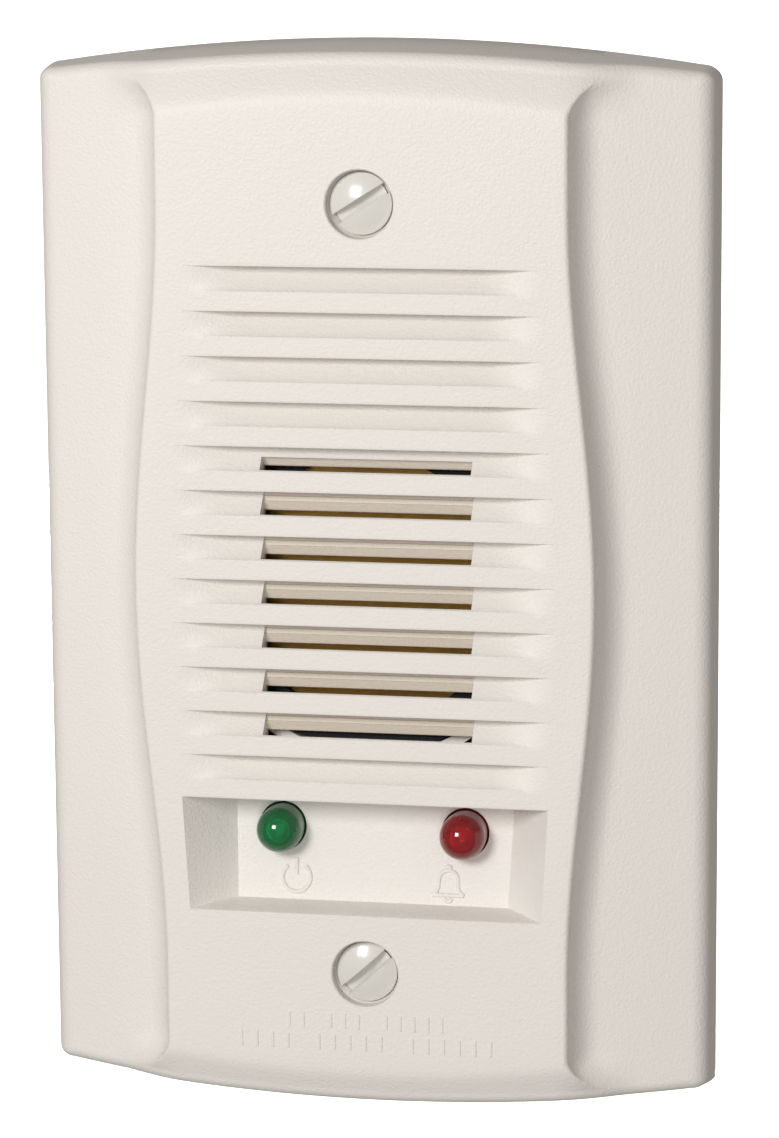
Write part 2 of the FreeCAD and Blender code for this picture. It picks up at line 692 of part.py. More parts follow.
def sounder():
    """Gasket, brass disc, ceramic disc and the cup that clamps them."""
    outer = rod("gasket_outer", "sounder_radius", (SEAT, DISC))
    inner = rod("gasket_hole", "sounder_radius - gasket_wide", (SEAT, DISC))
    node("sounder_gasket", cut("sounder_gasket", outer, [inner]))
    node("sounder_disc", rod("sounder_disc", "sounder_radius - disc_margin", (DISC, CUP)))
    node("sounder_ceramic", rod("sounder_ceramic", "sounder_radius - ceramic_margin",
                                (CUP, f"{CUP} + ceramic_thick")))
    cup = rod("cup_outer", "sounder_radius", (CUP, "board_front"))
    room = rod("cup_room", "sounder_radius - sounder_wall",
               (CUP, "board_front - sounder_wall"))
    holes = [rod(f"cup_hole_{name}", "lead_hole_radius",
                 ("board_front - sounder_wall - 1", "board_front + 1"),
                 f"{start} + lead_step", "0") for name, start in WIRES]
    node("sounder_cup", cut("sounder_cup", cup, [room] + holes))


def sounder_lead(name, start_formula):
    """An insulated wire from the sounder back to the board, with one S bend."""
    start = number(start_formula)
    out = start + value("lead_step")
    on_ceramic = abs(start) < number("sounder_radius - ceramic_margin")
    first = number(f"{CUP} + ceramic_thick") if on_ceramic else number(CUP)
    last = number("board_front")
    step = (last - first) / 3
    places = [(start, first), (start, first + step), (out, last - step), (out, last)]
    points = [FreeCAD.Vector(x, y, 0) for x, y in places]
    spine = Part.Wire(bent_path(points, 0.45 * step))
    circle = Part.Circle(points[0], FreeCAD.Vector(0, 1, 0), value("wire_radius"))
    thing = doc.addObject("Part::Feature", "sounder_lead_" + name)
    thing.Shape = spine.makePipeShell([Part.Wire([circle.toShape()])], True, False)
    node("sounder_lead_" + name, thing)


def bent_path(points, reach):
    """Straight runs joined by tangent arcs that begin at reach from each corner."""
    edges = []
    here = points[0]
    for before, at, after in zip(points, points[1:], points[2:]):
        into = (at - before).normalize()
        away = (after - at).normalize()
        turn = into.getAngle(away)
        one, two = at - into * reach, at + away * reach
        radius = reach / math.tan(turn / 2)
        gap = radius / math.cos(turn / 2) - radius
        bow = at + (away - into).normalize() * gap
        edges.append(Part.LineSegment(here, one).toShape())
        edges.append(Part.Arc(one, bow, two).toShape())
        here = two
    edges.append(Part.LineSegment(here, points[-1]).toShape())
    return edges


# ---------------------------------------------------------------- board
def circuit_board():
    """The board with its holes for posts, leads and pins."""
    plate = block("board_plate", ("-board_wide/2", "board_wide/2"),
                  ("board_front", BOARD_BACK), ("-board_tall/2", "board_tall/2"))
    through = ("board_front - 1", f"{BOARD_BACK} + 1")
    holes = [rod(f"board_hole_{i}", "small_screw_radius + small_play", through, x, z)
             for i, (x, z) in enumerate(corners())]
    for i, sign in enumerate(("-", "")):
        holes += [rod(f"board_lamp_{i}{j}", "lead_radius + 0.15", through,
                      f"{sign}lamp_half {side} lead_half", LAMP_Z)
                  for j, side in enumerate("-+")]
    holes += [rod(f"board_pole_{i}", "0.6", through, x, POLE_Z)
              for i, x in enumerate(poles())]
    holes += [block(f"board_pin_{i}", (f"{x} - pin_half - 0.1", f"{x} + pin_half + 0.1"),
                    through, ("header_z - pin_half - 0.1", "header_z + pin_half + 0.1"))
              for i, x in enumerate(pins())]
    node("circuit_board", cut("circuit_board", plate, holes))


def poles():
    """Across positions of the terminals, as formulas."""
    return [f"({2 * i - POLES + 1}*pole_pitch/2)" for i in range(POLES)]


def pins():
    """Across positions of the selector pins, as formulas."""
    return [f"(header_x + {i}*pin_pitch)" for i in (-1, 0, 1)]


POLE_Z = "((block_low + block_high - barrier)/2)"
FLOOR_TOP = f"({BOARD_BACK} + block_base)"
CONTACT_TOP = f"({FLOOR_TOP} + contact_thick)"
CLAMP_LOW = f"({CONTACT_TOP} + clamp_gap)"
CLAMP_TOP = f"({CLAMP_LOW} + clamp_thick)"


def pole_span(x, side):
    """Across limits of a plate that fits between two barriers."""
    half = f"(pole_pitch/2 - barrier/2 - {side})"
    return f"{x} - {half}", f"{x} + {half}"


def terminal_block():
    """The moulded base with its barriers and closed upper wall."""
    half = f"({POLES}*pole_pitch/2 + barrier/2)"
    back = f"{BOARD_BACK} + block_tall"
    base = block("block_floor", (f"-{half}", half), (BOARD_BACK, FLOOR_TOP),
                 ("block_low", "block_high"))
    wall = block("block_wall", (f"-{half}", half), (BOARD_BACK, back),
                 ("block_high - barrier", "block_high"))
    fins = []
    for i in range(POLES + 1):
        x = f"({2 * i - POLES}*pole_pitch/2)"
        fins.append(block(f"block_fin_{i}", (f"{x} - barrier/2", f"{x} + barrier/2"),
                          (BOARD_BACK, back), ("block_low", "block_high")))
    wells = []
    for i, x in enumerate(poles()):
        wells.append(rod(f"block_well_{i}", "terminal_radius + terminal_fit + 0.1",
                         (f"{CLAMP_TOP} - terminal_reach - 0.4", f"{FLOOR_TOP} + 1"), x, POLE_Z))
        wells.append(rod(f"block_pin_{i}", "0.6", ("board_front", f"{FLOOR_TOP} + 1"),
                         x, "block_high - barrier - 1.2"))
    node("terminal_block", cut("terminal_block", join("block_blank", [base, wall] + fins),
                               wells))


def terminal_contacts():
    """Four plates on the floor of the block, each with a tail through the board."""
    parts = []
    for i, x in enumerate(poles()):
        plate = block(f"contact_plate_{i}", pole_span(x, "contact_side"),
                      (FLOOR_TOP, CONTACT_TOP), ("block_low + 0.5", "block_high - barrier - 0.2"))
        tail = rod(f"contact_tail_{i}", "0.5", (f"{BOARD_BACK} + 0.1", FLOOR_TOP),
                   x, "block_high - barrier - 1.2")
        hole = rod(f"contact_hole_{i}", "terminal_radius + terminal_fit",
                   (f"{FLOOR_TOP} - 1", f"{CONTACT_TOP} + 1"), x, POLE_Z)
        parts.append(cut(f"contact_{i}", join(f"contact_blank_{i}", [plate, tail]), [hole]))
    node("terminal_contacts", group("terminal_contacts", parts))


def terminal(i, x):
    """One clamp plate and the slotted screw that pulls it down."""
    name = f"terminal_clamp_{i + 1}"
    plate = block(name + "_plate", pole_span(x, "contact_side + 0.1"), (CLAMP_LOW, CLAMP_TOP),
                  ("block_low + 1.2", "block_high - barrier - 0.8"))
    hole = rod(name + "_hole", "terminal_radius + terminal_fit",
               (f"{CLAMP_LOW} - 1", f"{CLAMP_TOP} + 1"), x, POLE_Z)
    node(name, cut(name, plate, [hole]))
    name = f"terminal_screw_{i + 1}"
    under = f"({CLAMP_TOP} + 0.05)"
    top = f"({under} + terminal_head)"
    head = rod(name + "_head", "terminal_head_radius", (under, top), x, POLE_Z)
    shank = rod(name + "_shank", "terminal_radius", (f"{under} - terminal_reach", under),
                x, POLE_Z)
    slot = block(name + "_slot", (f"{x} - 3", f"{x} + 3"), (f"{top} - 0.8", f"{top} + 1"),
                 (f"{POLE_Z} - small_slot/2", f"{POLE_Z} + small_slot/2"))
    node(name, cut(name, join(name + "_blank", [head, shank]), [slot]))


def selector():
    """Three pins in a moulded base, and the jumper that joins two of them."""
    top = f"({BOARD_BACK} + header_tall)"
    z_span = ("header_z - pin_pitch/2", "header_z + pin_pitch/2")
    base = block("header_block", ("header_x - 1.5*pin_pitch", "header_x + 1.5*pin_pitch"),
                 (BOARD_BACK, top), z_span)
    holes, posts = [], []
    for i, x in enumerate(pins()):
        holes.append(pin(f"header_hole_{i}", x, "0", (BOARD_BACK, top)))
        posts.append(pin(f"selector_pin_{i}", x, "0", ("board_front", "pin_reach")))
    node("selector_base", cut("selector_base", base, holes))
    node("selector_pins", group("selector_pins", posts))
    seat = f"({top} + 0.1)"
    body = block("jumper_body", ("header_x - 1.5*pin_pitch + 0.1", "header_x + pin_pitch/2 - 0.1"),
                 (seat, f"{seat} + jumper_tall"), ("header_z - pin_pitch/2 + 0.1",
                                                   "header_z + pin_pitch/2 - 0.1"))
    bores = [pin(f"jumper_hole_{i}", x, "jumper_play", (seat, "pin_reach + 0.3"))
             for i, x in enumerate(pins()[:2])]
    node("tone_jumper", cut("tone_jumper", body, bores))


def pin(name, x, play, y):
    """A square pin, or the hole for one with some play."""
    return block(name, (f"{x} - pin_half - {play}", f"{x} + pin_half + {play}"), y,
                 (f"header_z - pin_half - {play}", f"header_z + pin_half + {play}"))


def axial_parts(label, places, radius, length):
    """Components that lie along X on the board's back, with their two leads."""
    parts = []
    for i, (x, z) in enumerate(places):
        axis = f"({BOARD_BACK} + {radius} + 0.2)"
        body = along_x(f"{label}_body_{i}", str(radius), x, length, axis, z)
        wire = along_x(f"{label}_wire_{i}", "0.3", x, length + 3.0, axis, z)
        legs = [rod(f"{label}_leg_{i}{j}", "0.3", (f"{BOARD_BACK} + 0.05", axis),
                    str(x + side * (length / 2 + 1.5)), str(z))
                for j, side in enumerate((-1, 1))]
        parts.append(join(f"{label}_{i}", [body, wire] + legs))
    node(label, group(label, parts))


def along_x(name, radius, x, length, y, z):
    thing = doc.addObject("Part::Cylinder", name)
    thing.Placement = FreeCAD.Placement(
        FreeCAD.Vector(), FreeCAD.Rotation(FreeCAD.Vector(0, 1, 0), 90))
    bind(thing, Radius=radius, Height=str(length))
    return place(thing, str(x - length / 2), y, str(z))


def driver_chip():
    """A 14-pin chip: the black body and its two rows of bent pins."""
    x, z, length, half = 7.0, 8.5, 18.0, 3.2
    low = f"({BOARD_BACK} + 0.5)"
    node("driver_chip", block("driver_chip", (str(x - length / 2), str(x + length / 2)),
                              (low, f"{low} + 3.3"), (str(z - half), str(z + half))))
    legs = []
    for row, side in enumerate((-1, 1)):
        for i in range(7):
            at = x + (i - 3) * value("pin_pitch")
            out = sorted((z + side * half, z + side * (half + 0.7)))
            legs.append(block(f"chip_leg_{row}{i}", (str(at - 0.3), str(at + 0.3)),
                              (f"{BOARD_BACK} + 0.05", f"{low} + 1.8"),
                              (str(out[0]), str(out[1]))))
    node("driver_chip_pins", group("driver_chip_pins", legs))


def upright_parts():
    """Storage capacitor, boost coil and switching transistor."""
    low = f"{BOARD_BACK} + 0.1"
    node("storage_capacitor", rod("storage_capacitor", "4", (low, f"{low} + 10.8"),
                                  "-10.5", "24.5"))
    flanges = [rod(f"coil_flange_{i}", "4", span, "0.5", "24.5") for i, span in
               enumerate(((low, f"{low} + 1.2"), (f"{low} + 7.3", f"{low} + 8.5")))]
    core = rod("coil_core", "2", (low, f"{low} + 8.5"), "0.5", "24.5")
    node("boost_coil_core", join("boost_coil_core", flanges + [core]))
    winding = rod("coil_wire", "3.5", (f"{low} + 1.25", f"{low} + 7.25"), "0.5", "24.5")
    bore = rod("coil_bore", "2.05", (f"{low} + 1", f"{low} + 7.5"), "0.5", "24.5")
    node("boost_coil_winding", cut("boost_coil_winding", winding, [bore]))
    round_body = rod("transistor_round", "2.4", (f"{BOARD_BACK} + 2", f"{BOARD_BACK} + 6.6"),
                     "8.5", "25")
    flat = block("transistor_flat", ("5", "12"), (f"{BOARD_BACK} + 1", f"{BOARD_BACK} + 8"),
                 ("21", "23.8"))
    legs = [rod(f"transistor_leg_{i}", "0.25", (f"{BOARD_BACK} + 0.05", f"{BOARD_BACK} + 2"),
                str(8.5 + 1.27 * (i - 1)), "25") for i in range(3)]
    body = cut("transistor_body", round_body, [flat])
    node("switching_transistor", join("switching_transistor", [body] + legs))


# ---------------------------------------------------------------- rear cover
def rear_cover():
    """The insulating cover, open over the terminals and the tone selector."""
    half = "(board_wide/2 + back_play + back_wall)"
    tall = "(board_tall/2 + back_play + back_wall)"
    shell = block("back_outer", (f"-{half}", half), ("-back_foot", "back_depth"),
                  (f"-{tall}", tall))
    room = block("back_room", (f"-({half} - back_wall)", f"{half} - back_wall"),
                 ("-back_foot - 1", "back_depth - back_wall"),
                 (f"-({tall} - back_wall)", f"{tall} - back_wall"))
    wide = f"({POLES}*pole_pitch/2 + barrier/2 + 0.6)"
    through = ("back_depth - back_wall - 1", "back_depth + 1")
    window = block("terminal_window", (f"-{wide}", wide), through,
                   ("block_low - wire_channel", "block_high + 0.5"))
    notch = block("selector_window", ("header_x - 1.5*pin_pitch - 1", "header_x + 1.5*pin_pitch + 1"),
                  through, ("block_high", "header_z + pin_pitch/2 + 1"))
    hollow = cut("back_shell", shell, [room, window, notch])
    sleeves, wells = [], []
    bore = "(small_head_radius + 0.3)"
    for i, (x, z) in enumerate(LONG):
        sleeves.append(rod(f"sleeve_{i}", f"{bore} + sleeve_wall",
                           (BOARD_BACK, "back_depth - back_wall/2"), x, z))
        wells.append(rod(f"sleeve_well_{i}", bore,
                         (f"{BOARD_BACK} + sleeve_floor", "back_depth + 1"), x, z))
        wells.append(rod(f"sleeve_hole_{i}", "small_screw_radius + small_play",
                         ("board_front", "back_depth"), x, z))
    node("rear_cover", cut("rear_cover", join("back_solid", [hollow] + sleeves), wells))


def build():
    make_sheet()
    front_cover()
    mounting_screw("upper_mounting_screw", "", 32)
    mounting_screw("lower_mounting_screw", "-", 42)
    lamp("power_lamp", "-")
    lamp("alarm_lamp", "")
    sounder()
    for name, start in WIRES:
        sounder_lead(name, start)
    circuit_board()
    board_screws()
    terminal_block()
    terminal_contacts()
    for i, x in enumerate(poles()):
        terminal(i, x)
    selector()
    driver_chip()
    upright_parts()
    axial_parts("resistors", [(-13.5, z) for z in (2.0, 5.5, 9.0, 12.5, 16.0)], 1.1, 6.0)
    axial_parts("rectifier_diodes", [(16.0, z) for z in (0.5, 15.0, 18.5, 22.0)], 1.3, 5.0)
    rear_cover()
    rear_cover_screws()


def write():
    """Check every object, then write each sub-part to its own file."""
    doc.recompute()
    for thing in doc.Objects:
        if "Invalid" in thing.State or "Error" in thing.State:
            raise RuntimeError(f"{thing.Name} failed: {thing.State}")
    os.makedirs("parts", exist_ok=True)
    for thing in nodes:
        shape = thing.Shape
        if shape.isNull() or not shape.isValid() or not shape.Solids:
            raise RuntimeError(f"{thing.Label} has no valid solid")
        shape.exportStep(f"parts/{thing.Label}.step")
        print(f"{thing.Label:24s} {len(shape.Solids)} solid(s) {shape.Volume:10.1f} mm3")


build()
write()
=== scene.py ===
"""Looks of a wall-plate alarm sounder: louvred cover, two lamps, slotted screws, rear housing.

Frame: metres, +Z up, the front faces -Y, the origin is the centre of the plate's back face.
Shapes are worked out in millimetres and scaled once, when a mesh is made.
"""

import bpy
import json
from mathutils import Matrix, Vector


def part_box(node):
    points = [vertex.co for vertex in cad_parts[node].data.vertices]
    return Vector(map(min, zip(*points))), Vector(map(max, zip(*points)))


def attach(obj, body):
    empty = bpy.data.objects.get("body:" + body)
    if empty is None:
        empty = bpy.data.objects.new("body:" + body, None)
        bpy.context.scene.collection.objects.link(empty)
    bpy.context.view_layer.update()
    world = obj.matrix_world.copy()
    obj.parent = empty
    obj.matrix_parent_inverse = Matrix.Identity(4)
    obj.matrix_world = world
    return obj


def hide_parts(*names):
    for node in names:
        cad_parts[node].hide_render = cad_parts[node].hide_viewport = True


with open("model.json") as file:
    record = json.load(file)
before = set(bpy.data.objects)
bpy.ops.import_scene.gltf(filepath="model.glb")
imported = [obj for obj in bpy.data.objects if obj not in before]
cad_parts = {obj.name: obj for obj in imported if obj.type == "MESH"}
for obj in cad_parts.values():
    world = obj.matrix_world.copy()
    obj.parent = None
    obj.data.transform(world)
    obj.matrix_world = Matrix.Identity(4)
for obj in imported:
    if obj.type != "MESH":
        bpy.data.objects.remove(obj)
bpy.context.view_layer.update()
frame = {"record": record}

import json
import math

import bpy
import bmesh
import numpy as np
from mathutils import Matrix, Vector

bl_info = {
    "name": "Wall-plate alarm sounder",
    "version": (1, 0, 0),
    "blender": (4, 5, 0),
    "location": "View3D > Sidebar > Sounder",
    "description": "Builds the cover, lamps, screws, markings and finishes",
    "category": "Object",
}

MM = 0.001
WEAVE_SCALE = 314.0


def node_box(name):
    """Lowest and highest corner of a CAD node, in millimetres."""
    low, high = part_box(name)
    return np.array(low) / MM, np.array(high) / MM


def axis(name):
    """Where the middle of a CAD node is, across and up, in millimetres."""
    low, high = node_box(name)
    return (low[0] + high[0]) / 2, (low[2] + high[2]) / 2


COVER_LOW, COVER_HIGH = node_box("front_cover")
HALF_WIDE = float(COVER_HIGH[0])
HALF_TALL = float(COVER_HIGH[2])
FRONT = float(-COVER_LOW[1])

# Cover: profile across the plate.
EDGE_SAG = 3.0
DRAFT = math.tan(math.radians(7))
WING_EDGE = 4.6
WING_FALL = math.tan(math.radians(12))
CREST_HALF = 22.1
CREST_BULGE = 2.85
CREST_RUN = 42.0
CREST_LIP = 0.55
CREST_HOLLOW = 4.2
CREST_FLARE = 1.9
FLARE_START = 51.0
FLARE_RUN = 5.5
MELT_START = 53.2
MELT_RUN = 4.0
MELT_SPREAD = 5.0
SHOULDER = 53.0
SHOULDER_BOW = 1.4
SHOULDER_BEND = 0.7
SHOULDER_ROWS = 2.4
STRETCH = 48.0
BACK_HOLLOW = 51.0
END_HEIGHT = 9.4
LOW_END_HEIGHT = 10.3
END_CROWN = 0.2
CROWN_HALF = 20.0
SIDE_ROUND = 2.3
END_ROUND = 1.6
LOW_DRAFT = math.tan(math.radians(12.2))

# Cover: grooves, slots and the lamp recess.
GROOVES = 12
FIRST_SLOT = 5
LAST_SLOT = 11
SLOTS = range(FIRST_SLOT, LAST_SLOT + 1)
GROOVE_TOP = 35.0
GROOVE_PITCH = 4.81
GROOVE_OPEN = 2.5
GROOVE_DEPTH = 2.5
GROOVE_FOOT = 0.22
GROOVE_STEP = 0.14
GROOVE_LIP = 0.09
GROOVE_RAMP = 6.8
GROOVE_HALF = 19.0
GROOVE_BULGE = 1.9
GROOVE_ROUND = 0.18
SLOT_HALF = 11.4
SLOT_SHIFT = 0.36
SLAT_FALL = 1.0
SLAT_THICK = 2.75
WALL_THICK = 4.2
RIM_WIDE = 2.7
RIM_FLOOR = 2.4
WING_FLOOR = 4.25
HOUSING_FLOOR = 3.4
RECESS_TOP = GROOVE_TOP - GROOVES * GROOVE_PITCH
RECESS_LOW = RECESS_TOP - 12.4
RECESS_DEPTH = 6.3
RECESS_RISE = 2.3
RECESS_LIP = 0.14
RECESS_FOOT = 0.45

# Lamps, and the crown of the mounting screws' heads.
LAMP_RADIUS = 2.5
LAMP_HOLE = 2.65
HEAD_CROWN = 0.9


# ---------------------------------------------------------------- settings
def linear(code):
    """Linear red, green and blue of an sRGB hex colour."""
    channels = [int(code[i:i + 2], 16) / 255 for i in (1, 3, 5)]
    return tuple(c / 12.92 if c <= 0.04045 else ((c + 0.055) / 1.055) ** 2.4 for c in channels)


def colour(label, code):
    """A colour property with an sRGB default."""
    return bpy.props.FloatVectorProperty(
        name=label, description=f"Colour of the {label.lower()}", subtype="COLOR", size=3,
        min=0.0, max=1.0, default=linear(code))


class SounderColours(bpy.types.PropertyGroup):
    cover: colour("Cover plastic", "#ebe7e2")
    # The blades' colour is the cover plastic darkened and warmed: painted shade for blades sitting
    # in the slots' shadow.
    blade: colour("Rain blades", "#dcd2c5")
    screw: colour("Screw enamel", "#dfddd7")
    green: colour("Green lamp", "#0c8a4c")
    red: colour("Red lamp", "#b3141f")
    board: colour("Board laminate", "#a8854a")
    block: colour("Terminal block", "#2f6b4b")
    jumper: colour("Jumper cap", "#274a8f")
    floor: colour("Floor", "#f4f4f2")


class SounderSizes(bpy.types.PropertyGroup):
    grain: bpy.props.FloatProperty(
        name="Moulding grain", description="Size of the fine grain on the cover",
        default=0.00032, min=0.0001, unit="LENGTH")
    thread_pitch: bpy.props.FloatProperty(
        name="Thread pitch", description="Pitch of the mounting screws' thread",
        default=0.000794, min=0.0003, unit="LENGTH")
    mark_width: bpy.props.FloatProperty(
        name="Marking stroke", description="Width of the raised strokes of the lamp symbols",
        default=0.00046, min=0.0001, unit="LENGTH")
    mark_height: bpy.props.FloatProperty(
        name="Marking height", description="How far the raised markings stand proud",
        default=0.00022, min=0.00005, unit="LENGTH")
    floor_drop: bpy.props.FloatProperty(
        name="Floor drop", description="Depth of the floor below the plate's lower edge",
        default=0.06, min=0.0, unit="LENGTH")


def colours():
    return bpy.context.scene.sounder_colours


def sizes():
    return bpy.context.scene.sounder_sizes


def tone(code):
    """Linear colour of a hex code, or of one of the panel's colours by its name."""
    return linear(code) if code.startswith("#") else tuple(getattr(colours(), code))


# ---------------------------------------------------------------- meshes
def smooth_step(t):
    """0 below 0, 1 above 1, and 3t^2 - 2t^3 between."""
    t = np.clip(t, 0.0, 1.0)
    return t * t * (3 - 2 * t)


def lines(*stops):
    """Grid lines through stops, each a value and the count of segments up to the next stop."""
    runs = [np.linspace(a[0], b[0], a[1] + 1)[:-1] for a, b in zip(stops, stops[1:])]
    return np.concatenate(runs + [[stops[-1][0]]])


def grid_quads(rows, columns, first=0, closed=False):
    """Index quads of a rows x columns grid; closed joins the last column to the first."""
    i, j = np.meshgrid(np.arange(rows - 1), np.arange(columns if closed else columns - 1),
                       indexing="ij")
    k = (j + 1) % columns
    quads = np.stack([i * columns + j, (i + 1) * columns + j,
                      (i + 1) * columns + k, i * columns + k], axis=-1)
    return quads.reshape(-1, 4) + first


def make_mesh(name, points, faces, sharp=30.0):
    """A mesh from millimetre points; doubles merge, edges over the sharp angle stay hard."""
    mesh = bpy.data.meshes.new(name)
    mesh.from_pydata((np.asarray(points, float) * MM).tolist(), [],
                     [tuple(map(int, face)) for face in faces])
    edit = bmesh.new()
    edit.from_mesh(mesh)
    bmesh.ops.remove_doubles(edit, verts=edit.verts, dist=2e-6)
    bmesh.ops.dissolve_degenerate(edit, edges=edit.edges, dist=1e-7)
    bmesh.ops.recalc_face_normals(edit, faces=edit.faces)
    edit.to_mesh(mesh)
    edit.free()
    mesh.shade_smooth()
    mesh.set_sharp_from_angle(angle=math.radians(sharp))
    return mesh


def link_new(name, data):
    """A new object at the origin, in the scene."""
    thing = bpy.data.objects.new(name, data)
    bpy.context.scene.collection.objects.link(thing)
    return thing


def add_piece(name, mesh, body, slot, *replaces, material=None):
    """A finished piece: it rides on a body and has a slot's finish, or one of its own."""
    piece = link_new(name, mesh)
    mesh.materials.clear()
    mesh.materials.append(material or finish_of(slot))
    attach(piece, body)
    if replaces:
        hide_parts(*replaces)
    return piece


def turned(profile, centre, segments=64):
    """A profile of (radius, depth) pairs turned about the +Y axis through centre (x, z).

    A point is (x + r cos a, depth, z + r sin a); the profile runs from the front pole to the
    back pole, or closes on itself as a ring, and its faces point outwards.
    """
    profile = np.asarray(profile, float)
    angle = np.linspace(0, 2 * math.pi, segments, endpoint=False)
    radius, depth = profile[:, :1], profile[:, 1:]
    points = np.stack([centre[0] + radius * np.cos(angle), depth + 0 * angle,
                       centre[1] + radius * np.sin(angle)], axis=-1)
    return points.reshape(-1, 3), grid_quads(len(profile), segments, closed=True)


def arc(centre, radius, start, end, steps):
    """Points of a circular arc in degrees, as (across, along) pairs."""
    angle = np.radians(np.linspace(start, end, steps + 1))
    return np.stack([centre[0] + radius * np.cos(angle), centre[1] + radius * np.sin(angle)], -1)


def joined(*parts):
    """Several (points, faces) pairs as one."""
    points, faces, count = [], [], 0
    for part_points, part_faces in parts:
        points.append(np.asarray(part_points, float))
        faces += [tuple(int(v) + count for v in face) for face in part_faces]
        count += len(part_points)
    return np.concatenate(points), faces


def carve(mesh, cutters, sharp=30.0):
    """The mesh with closed (points, faces) shapes cut away."""
    body = link_new("carved", mesh)
    tools = []
    for index, (points, faces) in enumerate(cutters):
        tool = link_new(f"tool_{index}", make_mesh(f"tool_{index}", points, faces))
        cut = body.modifiers.new(f"cut_{index}", "BOOLEAN")
        cut.operation = "DIFFERENCE"
        cut.solver = "MANIFOLD"
        cut.object = tool
        tools.append(tool)
    bpy.context.view_layer.update()
    graph = bpy.context.evaluated_depsgraph_get()
    result = bpy.data.meshes.new_from_object(body.evaluated_get(graph))
    result.name = mesh.name
    for thing in tools + [body]:
        bpy.data.objects.remove(thing)
    result.materials.clear()
    result.shade_smooth()
    result.set_sharp_from_angle(angle=math.radians(sharp))
    return result


# ---------------------------------------------------------------- finishes
def add_node(tree, kind, settings=None, links=None, **attributes):
    """Adds a shader node: socket values by name or index, then (node, output) links by input."""
    made = tree.nodes.new(kind)
    for key, value in attributes.items():
        setattr(made, key, value)
    for key, value in (settings or {}).items():
        made.inputs[key].default_value = value
    for key, (source, output) in (links or {}).items():
        tree.links.new(source.outputs[output], made.inputs[key])
    return made


def new_material(name):
    """An empty node material, and the object coordinates every pattern is measured from."""
    material = bpy.data.materials.new(name)
    material.use_nodes = True
    tree = material.node_tree
    tree.nodes.clear()
    return material, tree, (add_node(tree, "ShaderNodeTexCoord"), "Object")


def add_noise(tree, place, scale, detail, **settings):
    """Noise in the coordinates it is handed."""
    return add_node(tree, "ShaderNodeTexNoise", {"Scale": scale, "Detail": detail, **settings},
                    {"Vector": place}), "Fac"


def add_tones(tree, dark, light, by):
    """A colour between the dark and the light one."""
    return add_node(tree, "ShaderNodeMix", {6: (*dark, 1.0), 7: (*light, 1.0)}, {"Factor": by},
                    data_type="RGBA"), 2


def add_range(tree, low, high, by):
    """A value between low and high."""
    return add_node(tree, "ShaderNodeMapRange", {"To Min": low, "To Max": high},
                    {"Value": by}), "Result"


def add_relief(tree, height, by, strength=1.0):
    """Relief of a height in millimetres."""
    return add_node(tree, "ShaderNodeBump", {"Strength": strength, "Distance": height * MM},
                    {"Height": by}), "Normal"


def add_surface(tree, settings, links):
    """The surface shader and the material's output."""
    shader = add_node(tree, "ShaderNodeBsdfPrincipled", settings, links)
    add_node(tree, "ShaderNodeOutputMaterial", links={"Surface": (shader, "BSDF")})


def dimmed(base, share):
    """A share of a colour."""
    return tuple(c * share for c in base)


def grain_surface(name, base, grain, bump, rough, spread=0.05, tint=0.05, patch=9.0, **shader):
    """A surface with fine grain and broad faint patches.

    grain is the size in millimetres of the relief's grains, bump the relief's height in
    millimetres, spread the change in roughness, and tint the change in brightness over
    patches of the given size.
    """
    material, tree, place = new_material(name)
    fine = add_noise(tree, place, 1000 / grain, 3.0, Roughness=0.6)
    broad = add_noise(tree, place, 1000 / patch, 4.0)
    light = tuple(min(c, 1.0) for c in dimmed(base, 1 + tint))
    add_surface(tree, shader, {
        "Base Color": add_tones(tree, dimmed(base, 1 - tint), light, broad),
        "Roughness": add_range(tree, rough - spread, rough + spread, broad),
        "Normal": add_relief(tree, bump, fine)})
    return material


def cover_plastic(name="moulded_abs", base=None):
    """Injection-moulded ABS with a fine spark-eroded grain: matte, warm white, soft sheen."""
    return grain_surface(name, base or tone("cover"), sizes().grain / MM, 0.09, 0.46,
                         spread=0.04, tint=0.012, patch=14.0, IOR=1.53)


def screw_enamel():
    """Stoved enamel on a steel screw: smooth and glossy with a trace of orange peel."""
    return grain_surface("stoved_enamel", tone("screw"), 0.9, 0.004, 0.22,
                         spread=0.06, tint=0.03, patch=2.5, IOR=1.5,
                         **{"Coat Weight": 0.5, "Coat Roughness": 0.08})


def lamp_epoxy(name, base):
    """Cast tinted epoxy: a clear glossy lens that is deep in colour where it is thick."""
    material, tree, place = new_material(name)
    haze = add_noise(tree, place, 900.0, 2.0)
    add_surface(tree, {"IOR": 1.54, "Transmission Weight": 0.5, "Coat Weight": 0.4,
                       "Coat Roughness": 0.02},
                {"Base Color": add_tones(tree, dimmed(base, 0.8), base, haze),
                 "Roughness": add_range(tree, 0.03, 0.08, haze)})
    return material


def metal(name, base, rough, lay=0.12, bump=0.0015, along=(1.0, 1.0, 14.0)):
    """Bare or plated metal with the fine lines that rolling or turning leaves."""
    material, tree, place = new_material(name)
    stretch = add_node(tree, "ShaderNodeMapping", {"Scale": along}, {"Vector": place})
    scratch = add_noise(tree, (stretch, "Vector"), 1000 / (lay * 14), 3.0)
    stain = add_noise(tree, place, 450.0, 4.0)
    add_surface(tree, {"Metallic": 1.0}, {
        "Base Color": add_tones(tree, dimmed(base, 0.82), base, stain),
        "Roughness": add_range(tree, rough - 0.06, rough + 0.1, scratch),
        "Normal": add_relief(tree, bump, scratch)})
    return material


